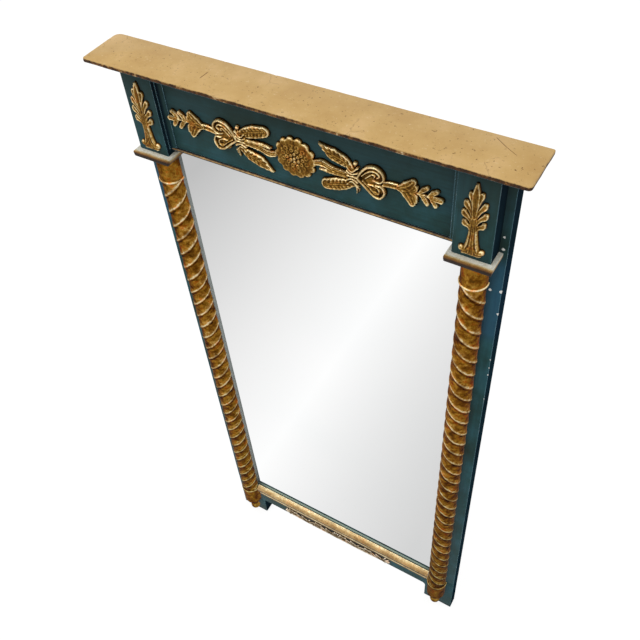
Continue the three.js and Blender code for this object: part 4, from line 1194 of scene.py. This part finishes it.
class MIRROR_OT_columns(bpy.types.Operator):
    """Carve the twisted shafts and turn their necks, drums, bowls and drops"""

    bl_idname = "mirror.columns"
    bl_label = "Half columns"

    def execute(self, context):
        gold = cached("water gilding on carved wood", water_gilding)
        for word, side in SIDES.items():
            self.shaft(context.scene.mirror_sizes, word, side, gold)
            self.neck(word, side, gold)
            self.base(word, side, gold)
            self.drop(word, side, gold)
        return {"FINISHED"}

    def shaft(self, sizes, word, side, gold):
        step = 1.0 * MM
        count = int((SHAFT_TOP - SHAFT_BOTTOM) / step)

        def row(share):
            z = SHAFT_BOTTOM + share * (SHAFT_TOP - SHAFT_BOTTOM)
            rise = (z - FLOOR_Z) / sizes.lead
            outer = (SHAFT_BOTTOM_RADIUS + share * (SHAFT_TOP_RADIUS - SHAFT_BOTTOM_RADIUS)) * MM

            def at(angle):
                x, y = 0.05 * side + math.sin(angle) * outer, math.cos(angle) * outer
                phase = sizes.strands * (angle / (2 * math.pi) + side * rise)
                phase += side * TWIST_START[word] + wobble(x, y, z, 34 * MM, 0.035)
                above = side * ((phase + 0.5) % 1.0 - 0.5)  # turns of a strand, 0 on its crest
                # painted light: the flank above each crest is lightened and the one below it
                # darkened, as light from above falls
                if above > 0:
                    hollow = (above / 0.5) ** 0.9
                    tone = 0.5 + 0.26 * math.exp(-((above / 0.2) ** 2))
                else:
                    hollow = 1 - (1 - min(1.0, -above / 0.2)) ** 2
                    tone = 0.5 - 0.22 * math.exp(-(((above + 0.13) / 0.09) ** 2))
                uneven = wobble(x, y, z, 5 * MM, 0.16) + wobble(x, y, z, 14 * MM, 0.14)
                # the pale crest line is rubbed gilding with a painted highlight
                ridge = math.exp(-(((above - 0.02) / 0.07) ** 2))
                # low down, a fainter second ridge between the crests is only painted, as a
                # highlight line
                second = 0.24 * (1 - share) * math.exp(-(((above - 0.31) / 0.05) ** 2))
                worn = tone + 0.34 * ridge + second + wobble(x, y, 2.2 * z, 9 * MM, 0.2)
                depth = min(0.0, uneven - hollow) * sizes.groove
                return outer + depth, max(0.0, min(1.0, worn))

            return z, at

        rows = [row(i / count) for i in range(count + 1)]
        around = 120
        half_round(f"carved_shaft_{word}", rows, side, gold, [f"column_shaft_{word}"], around)

    def neck(self, word, side, gold):
        rows = self.ring(SHAFT_TOP, SHAFT_TOP_RADIUS)
        top = SHAFT_TOP + RING_HEIGHT * MM
        for i in range(13):
            share = i / 12
            # the top of the neck is darkened: painted shade under the capital
            tone = 0.5 if share < 0.7 else 0.5 - 0.4 * (share - 0.7) / 0.3
            rows.append(self.plain(top + share * (NECK_TOP - top), SHAFT_TOP_RADIUS, tone))
        half_round(f"turned_neck_{word}", rows, side, gold, [f"column_neck_{word}"])

    def base(self, word, side, gold):
        ring_bottom = SHAFT_BOTTOM - RING_HEIGHT * MM
        drum_bottom = BASE_BOTTOM + BOWL_DEPTH * MM
        rows = []
        end = math.acos(BOWL_MOUTH_RADIUS / DRUM_RADIUS)
        for i in range(17):
            turn = end * (1 - i / 16)
            z = drum_bottom - BOWL_DEPTH * MM * math.sin(turn) / math.sin(end)
            # the bowl is darker toward its foot: painted shade on its underside
            rows.append(self.plain(z, DRUM_RADIUS * math.cos(turn), 0.3 + 0.2 * i / 16))
        for i in range(1, 13):
            rows.append(self.plain(
                drum_bottom + (ring_bottom - drum_bottom) * i / 12, DRUM_RADIUS, 0.57
            ))
        rows.extend(self.ring(ring_bottom, DRUM_RADIUS))
        half_round(f"turned_base_{word}", rows, side, gold, [f"column_base_{word}"])

    def drop(self, word, side, gold):
        centre = KNOB_BOTTOM + KNOB_RADIUS * MM
        rows = []
        stem_turn = math.acos(KNOB_STEM_RADIUS / KNOB_RADIUS)
        start = -math.asin(math.sqrt(1 - (DROP_NECK / KNOB_RADIUS) ** 2))
        for i in range(17):
            turn = start + (stem_turn - start) * i / 16
            z = centre + KNOB_RADIUS * MM * math.sin(turn)
            rows.append(self.plain(z, KNOB_RADIUS * math.cos(turn), 0.68))
        for i in range(1, 5):
            z = rows[16][0] + (BASE_BOTTOM - rows[16][0]) * i / 4
            # the stem under the bowl is darker: painted shade
            rows.append(self.plain(z, max(KNOB_STEM_RADIUS, DROP_NECK), 0.35))
        half_round(f"turned_drop_{word}", rows, side, gold, [f"drop_knob_{word}"], 32)

    def ring(self, z, radius):
        """Rows of a half-round ring that stands out from this radius."""
        rows = []
        for i in range(9):
            turn = math.pi * i / 8
            # painted highlight on the ring's crown, painted shade at its upper and lower edges
            rows.append(self.plain(
                z + RING_HEIGHT * MM * i / 8,
                radius + RING_PROJECTION * math.sin(turn),
                0.2 + 0.9 * math.sin(turn) ** 0.6,
            ))
        return rows

    def plain(self, z, radius, tone):
        """A row of a turned surface, with the little ovality that shrinkage leaves."""
        def at(angle):
            uneven = wobble(math.sin(angle), math.cos(angle), z, 14 * MM, 0.12 * MM)
            blotch = 0.1 * noise.noise(Vector((math.sin(angle) * 2, z * 60, 4.0)))
            return radius * MM + uneven - 0.06 * MM, max(0.0, min(1.0, tone + blotch))

        return z, at


class MIRROR_OT_capitals(bpy.types.Operator):
    """Plane the square capitals and rub their gilding"""

    bl_idname = "mirror.capitals"
    bl_label = "Capitals"

    def execute(self, context):
        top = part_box("capital_left")[1].z
        ledge = BLOCK_FACE - 4 * MM
        finish = cached("gesso with rubbed gilding", rubbed_gesso, top, ledge)
        for word in SIDES:
            planed(f"capital_{word}", f"capital_{word}_rubbed", finish,
                   0.5 * MM, reshape=straighten)
        return {"FINISHED"}


class MIRROR_OT_mouldings(bpy.types.Operator):
    """Run the gilt bead and fillet of the base board, and the bead under the frieze"""

    bl_idname = "mirror.mouldings"
    bl_label = "Gilt mouldings"

    def execute(self, context):
        gilt = cached("gilding on a softwood moulding", gilt_moulding)
        self.bead("base_bead", gilt, 40)
        self.fillet("base_fillet", gilt)
        self.bead("frieze_bead", gilt, 10, nose=4.5 / 2)
        return {"FINISHED"}

    def run(self, node, section, tones, material, slot):
        """Runs a section, in metres before the box's back and above its foot, along X."""
        low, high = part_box(node)
        count = max(2, round((high.x - low.x) / (4 * MM)))
        rows, crest = [], []
        for i in range(count + 1):
            x = low.x + (high.x - low.x) * i / count
            row = []
            for (out, up), tone in zip(section, tones):
                uneven = wobble(x, out, up, 26 * MM, 0.16 * MM) if out > 0 else 0.0
                row.append((x, high.y - max(out - abs(uneven), -SINK * MM), low.z + up))
                crest.append(max(0.0, min(1.0, tone + wobble(x, out, up, 40 * MM, 0.16))))
            rows.append(row)
        return swept(f"{node}_gilt", rows, crest, material, [node])

    def bead(self, node, material, steps, nose=None):
        """A bead: half an ellipse, or with nose a flat strip with a rounded front."""
        low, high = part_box(node)
        out, up = high.y - low.y, high.z - low.z
        reach = nose * MM if nose else out
        section, tones = [(-SINK * MM, 0.0)], [0.1]
        for i in range(steps + 1):
            turn = -math.pi / 2 + math.pi * i / steps
            # a quirk cut along the bead parts its lower lip from its crown
            quirk = 0.0 if nose else math.exp(-(((turn + 0.1) / 0.17) ** 2))
            section.append((out - reach + (reach - 0.9 * MM * quirk) * math.cos(turn),
                            up / 2 + up / 2 * math.sin(turn)))
            # the frieze bead gets a painted highlight across its middle and painted shade above and
            # below it
            if nose:
                tones.append(0.05 + 0.62 * math.exp(-(((math.sin(turn) - 0.35) / 0.3) ** 2)))
            else:
                # the base bead gets a painted highlight on its lip and top, and painted shade in
                # its quirk and underneath
                lip = 0.45 * math.exp(-(((turn + 0.5) / 0.14) ** 2))
                tones.append(0.68 + lip + 0.36 * max(0.0, turn / 1.57) ** 4 - 0.9 * quirk
                             - (0.5 if turn < -0.8 else 0.0))
        section.append((-SINK * MM, up))
        tones.append(0.6)
        slot = "gilding_pale" if node == "base_bead" else "gilding_worn"
        return self.run(node, section, tones, material, slot)

    def fillet(self, node, material):
        """A thin square strip, its upper arris taken off."""
        low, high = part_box(node)
        out, up = high.y - low.y, high.z - low.z
        section = [(-SINK * MM, 0), (out, 0), (out, up - 0.9 * MM),
                   (out - 0.7 * MM, up), (-SINK * MM, up)]
        # the fillet gets painted shade at its foot and a painted highlight on its upper arris
        return self.run(node, section, [0.1, 0.3, 1.0, 1.0, 0.9], material, "gilding_pale")


class MIRROR_OT_frieze_ornament(bpy.types.Operator):
    """Cast the rosette, wing leaves, heart scrolls and bud sprays of the frieze"""

    bl_idname = "mirror.frieze_ornament"
    bl_label = "Frieze ornament"

    def execute(self, context):
        gilt = cached("gilded composition ornament", gilded_composition)
        place = (ORNAMENT_X, ORNAMENT_Z)
        cast("rosette", model_rosette(), place, FRIEZE_FACE, gilt)
        models = {
            "wing_leaves": model_wing_leaves,
            "heart_scroll": model_heart_scroll,
            "bud_spray": model_bud_spray,
        }
        for node, model in models.items():
            for word, side in SIDES.items():
                # the pointed leaf is above on the right and below on the left
                form = model(side) if model is model_wing_leaves else model()
                cast(f"{node}_{word}", form, place, FRIEZE_FACE, gilt, side)
        return {"FINISHED"}


class MIRROR_OT_palmettes(bpy.types.Operator):
    """Cast the palmettes of the two blocks"""

    bl_idname = "mirror.palmettes"
    bl_label = "Palmettes"

    def execute(self, context):
        gilt = cached("gilded composition ornament", gilded_composition)
        for word, side in SIDES.items():
            low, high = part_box(f"palmette_{word}")
            place = ((low.x + high.x) / 2, low.z)
            cast(f"palmette_{word}", model_palmette(), place, BLOCK_FACE, gilt, side)
        return {"FINISHED"}


class MIRROR_OT_apron_scroll(bpy.types.Operator):
    """Cast the running scroll of the apron"""

    bl_idname = "mirror.apron_scroll"
    bl_label = "Apron scroll"

    def execute(self, context):
        pale = cached("silvery composition ornament", gilded_composition, True)
        low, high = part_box("apron_scroll")
        place = ((low.x + high.x) / 2, (low.z + high.z) / 2)
        cast("apron_scroll", model_apron_scroll(), place, BOARD_FACE, pale)
        return {"FINISHED"}


class MIRROR_OT_back(bpy.types.Operator):
    """Fit the back planks, their pins, the strap hangers and their screws and rings"""

    bl_idname = "mirror.back"
    bl_label = "Back and hangers"

    def execute(self, context):
        wood = cached("bare sawn pine", aged_pine)
        steel = cached("zinc-plated pressed steel", zinc_plated_steel)
        for i in (1, 2, 3):
            planed(f"back_plank_{i}", f"back_plank_{i}_sawn", wood, 0.4 * MM, 1)
        self.pins(steel)
        for word in SIDES:
            strap = f"hanger_strap_{word}"
            planed(strap, f"{strap}_pressed", steel, 0.2 * MM, 1)
            self.screws(word, steel)
            self.ring(word, steel)
        return {"FINISHED"}

    def lathe(self, points, faces, centre, profile, around):
        """Adds a small turned form about +Y, its profile as radius and height in metres."""
        start = len(points)
        for radius, out in profile:
            for i in range(around):
                angle = 2 * math.pi * i / around
                points.append((centre[0] + radius * math.cos(angle), centre[1] + out,
                               centre[2] + radius * math.sin(angle)))
        faces.extend(tube(len(profile), around, start, turned=True))

    def pins(self, steel):
        """Steel pins that hold the planks in the rebate."""
        points, faces = [], []
        head = [(0.6 * MM, -2 * MM), (0.6 * MM, 0), (1.5 * MM, 0.05 * MM),
                (1.5 * MM, 0.35 * MM), (1.1 * MM, 0.6 * MM)]
        for i in (1, 2, 3):
            low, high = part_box(f"back_plank_{i}")
            for share in PIN_SHARES:
                x = low.x + share * (high.x - low.x)
                for z in (low.z + PIN_INSET * MM, high.z - PIN_INSET * MM):
                    self.lathe(points, faces, (x, high.y, z), head, 14)
        for node, share in (("back_plank_1", 0), ("back_plank_3", 1)):
            low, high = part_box(node)
            x = low.x + PIN_INSET * MM if share == 0 else high.x - PIN_INSET * MM
            for k in range(1, 5):
                z = low.z + (high.z - low.z) * k / 5
                self.lathe(points, faces, (x, high.y, z), head, 14)
        piece("plank_pins", points, faces, steel, flat=1 * MM * MM)

    def screws(self, word, steel):
        """Two round-headed screws in the strap."""
        low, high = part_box(f"hanger_strap_{word}")
        x = (low.x + high.x) / 2
        face = low.y + STRAP_THICKNESS * MM
        points, faces = [], []
        head = [(1.6 * MM, -1.1 * MM), (3.1 * MM, 0), (3.1 * MM, 0.5 * MM), (2.7 * MM, 1.0 * MM),
                (1.9 * MM, 1.3 * MM), (0.9 * MM, 1.4 * MM)]
        for rise in SCREW_HEIGHTS:
            self.lathe(points, faces, (x, face, low.z + rise * MM), head, 28)
        piece(f"hanger_screws_{word}", points, faces, steel, flat=1 * MM * MM)

    def ring(self, word, steel):
        """The D ring: round wire, its straight side turning in the knuckle."""
        low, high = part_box(f"hanger_ring_{word}")
        wire = (high.y - low.y) / 2
        middle = Vector(((low.x + high.x) / 2, (low.y + high.y) / 2, high.z - wire))
        half = (high.x - low.x) / 2 - wire
        drop = middle.z - low.z - wire
        path = []
        corner = 1.6 * MM
        for i in range(9):
            path.append(Vector((-half + corner + (2 * half - 2 * corner) * i / 8, 0, 0)))
        for i in range(25):
            turn = math.pi * i / 24
            path.append(Vector((half * math.cos(turn), 0, -drop * math.sin(turn) - 0.9 * MM
                                if 0 < i < 24 else -0.9 * MM)))
        around = 16
        points, faces = [], []
        count = len(path)
        for k, at in enumerate(path):
            ahead = (path[(k + 1) % count] - path[k - 1]).normalized()
            across = ahead.cross(Vector((0, 1, 0))).normalized()
            for i in range(around):
                angle = 2 * math.pi * i / around
                points.append(middle + at + wire * math.cos(angle) * across
                              + Vector((0, wire * math.sin(angle), 0)))
        for k in range(count):
            for i in range(around):
                j = (i + 1) % around
                a, b = k * around, ((k + 1) % count) * around
                faces.append((a + i, b + i, b + j, a + j))
        piece(f"hanger_ring_{word}_bent", points, faces, steel,
              [f"hanger_ring_{word}"], f"ring_{word}")


class MIRROR_OT_stage(bpy.types.Operator):
    """Set the floor, the lamps, the world and the camera"""

    bl_idname = "mirror.stage"
    bl_label = "Studio"

    def execute(self, context):
        self.floor(context)
        self.world(context)
        for lamp in LAMPS:
            self.lamp(*lamp)
        self.camera(context)
        context.scene.view_settings.view_transform = "Standard"
        return {"FINISHED"}

    def seen(self, tree):
        """1 for what the camera, the glass and the metal see, and 0 for the light."""
        rays = add_node(tree, "LightPath").outputs
        seen = rays["Is Camera Ray"]
        for kind in ("Is Glossy Ray", "Is Transmission Ray"):
            seen = add_node(tree, "Math", {0: seen, 1: rays[kind]}, operation="MAXIMUM").outputs[0]
        return seen, rays["Is Camera Ray"]

    def show_white(self, on):
        """The lit floor, seen white with its shadows, and in the glass a painted reflection, grey
        to the sides.
        """
        tree, lit = on.tree, on.shader.outputs["BSDF"]
        seen, camera = self.seen(tree)
        across, away, _ = on.split(on.place)
        painted_room_reflection = on.ramp(
            on.share(across, -1.0, 0.12), (0.0, "#c0c0c0"), (0.33, "#e0e0e0"),
            (0.67, "#ffffff"), (0.84, "#e9e9e9"), (1.0, "#d5d5d5"),
        )
        plain = on.math("MAXIMUM", on.share(away, -1.1, -3.2), camera)
        colour = on.mix(plain, painted_room_reflection, "#ffffff")
        white = add_node(tree, "Emission", {"Color": colour, "Strength": 1.0}).outputs[0]
        bright = add_node(tree, "Emission", {"Color": colour, "Strength": 1.25}).outputs[0]
        shadowed = add_node(tree, "MixShader", {0: FLOOR_SHADOW, 1: bright, 2: lit}).outputs[0]
        shown = add_node(tree, "MixShader", {0: camera, 1: white, 2: shadowed}).outputs[0]
        return add_node(tree, "MixShader", {0: seen, 1: lit, 2: shown}).outputs[0]

    def floor(self, context):
        mesh = bpy.data.meshes.new("floor")
        corners = [(x * FLOOR_REACH, y * FLOOR_REACH, FLOOR_Z)
                   for x, y in ((-1, -1), (1, -1), (1, 1), (-1, 1))]
        mesh.from_pydata(corners, [], [(0, 1, 2, 3)])
        on = Finish("pale studio floor")
        output = on.tree.get_output_node("ALL").inputs["Surface"]
        on.tree.links.new(self.show_white(on), output)
        colour = context.scene.mirror_colours.floor
        mesh.materials.append(on.shaded({"Base Color": colour, "Roughness": 0.9}))
        floor = bpy.data.objects.new("floor", mesh)
        context.scene.collection.objects.link(floor)

    def world(self, context):
        world = bpy.data.worlds.new("studio")
        context.scene.world = world
        world.use_nodes = True
        tree = world.node_tree
        tree.nodes.clear()
        soft = add_node(tree, "Background", {"Color": linear("#f6f8fa"), "Strength": 0.72})
        white = add_node(tree, "Background", {"Color": linear("#ffffff"), "Strength": 1.0})
        seen, _ = self.seen(tree)
        mixed = add_node(tree, "MixShader", {0: seen, 1: soft.outputs[0], 2: white.outputs[0]})
        add_node(tree, "OutputWorld", {"Surface": mixed.outputs[0]})

    def lamp(self, name, place, aim, size, power):
        data = bpy.data.lights.new(name, "AREA")
        data.shape = "SQUARE"
        data.size = size
        data.energy = power
        lamp = bpy.data.objects.new(name, data)
        lamp.location = place
        lamp.rotation_mode = "QUATERNION"
        lamp.rotation_quaternion = (Vector(aim) - Vector(place)).to_track_quat("-Z", "Y")
        bpy.context.scene.collection.objects.link(lamp)

    def camera(self, context):
        data = bpy.data.cameras.new("camera")
        data.lens = CAMERA_LENS
        data.sensor_width = SENSOR_WIDTH
        data.clip_start = 0.01
        camera = bpy.data.objects.new("camera", data)
        camera.location = CAMERA_PLACE
        camera.rotation_euler = [math.radians(a) for a in CAMERA_TURN]
        context.scene.collection.objects.link(camera)
        context.scene.camera = camera


class MIRROR_PT_panel(bpy.types.Panel):
    """Lists the pieces of the mirror and their sizes"""

    bl_label = "Trumeau mirror"
    bl_idname = "MIRROR_PT_panel"
    bl_space_type = "VIEW_3D"
    bl_region_type = "UI"
    bl_category = "Mirror"

    def draw(self, context):
        layout = self.layout
        for group in (context.scene.mirror_sizes, context.scene.mirror_colours):
            box = layout.box()
            for name in type(group).__annotations__:
                box.prop(group, name)
        for maker in OPERATORS:
            layout.operator(maker.bl_idname)


OPERATORS = [
    MIRROR_OT_boards,
    MIRROR_OT_cornice,
    MIRROR_OT_glass,
    MIRROR_OT_columns,
    MIRROR_OT_capitals,
    MIRROR_OT_mouldings,
    MIRROR_OT_frieze_ornament,
    MIRROR_OT_palmettes,
    MIRROR_OT_apron_scroll,
    MIRROR_OT_back,
    MIRROR_OT_stage,
]
CLASSES = [MirrorSizes, MirrorColours, *OPERATORS, MIRROR_PT_panel]


def register():
    for cls in CLASSES:
        bpy.utils.register_class(cls)
    bpy.types.Scene.mirror_sizes = bpy.props.PointerProperty(type=MirrorSizes)
    bpy.types.Scene.mirror_colours = bpy.props.PointerProperty(type=MirrorColours)


def unregister():
    del bpy.types.Scene.mirror_sizes
    del bpy.types.Scene.mirror_colours
    for cls in reversed(CLASSES):
        bpy.utils.unregister_class(cls)


def main():
    """Makes every piece and the stage."""
    register()
    bpy.ops.mirror.boards()
    bpy.ops.mirror.cornice()
    bpy.ops.mirror.columns()
    bpy.ops.mirror.capitals()
    bpy.ops.mirror.mouldings()
    bpy.ops.mirror.frieze_ornament()
    bpy.ops.mirror.palmettes()
    bpy.ops.mirror.apron_scroll()
    bpy.ops.mirror.back()
    bpy.ops.mirror.glass()
    bpy.ops.mirror.stage()


if __name__ == "__main__":
    main()
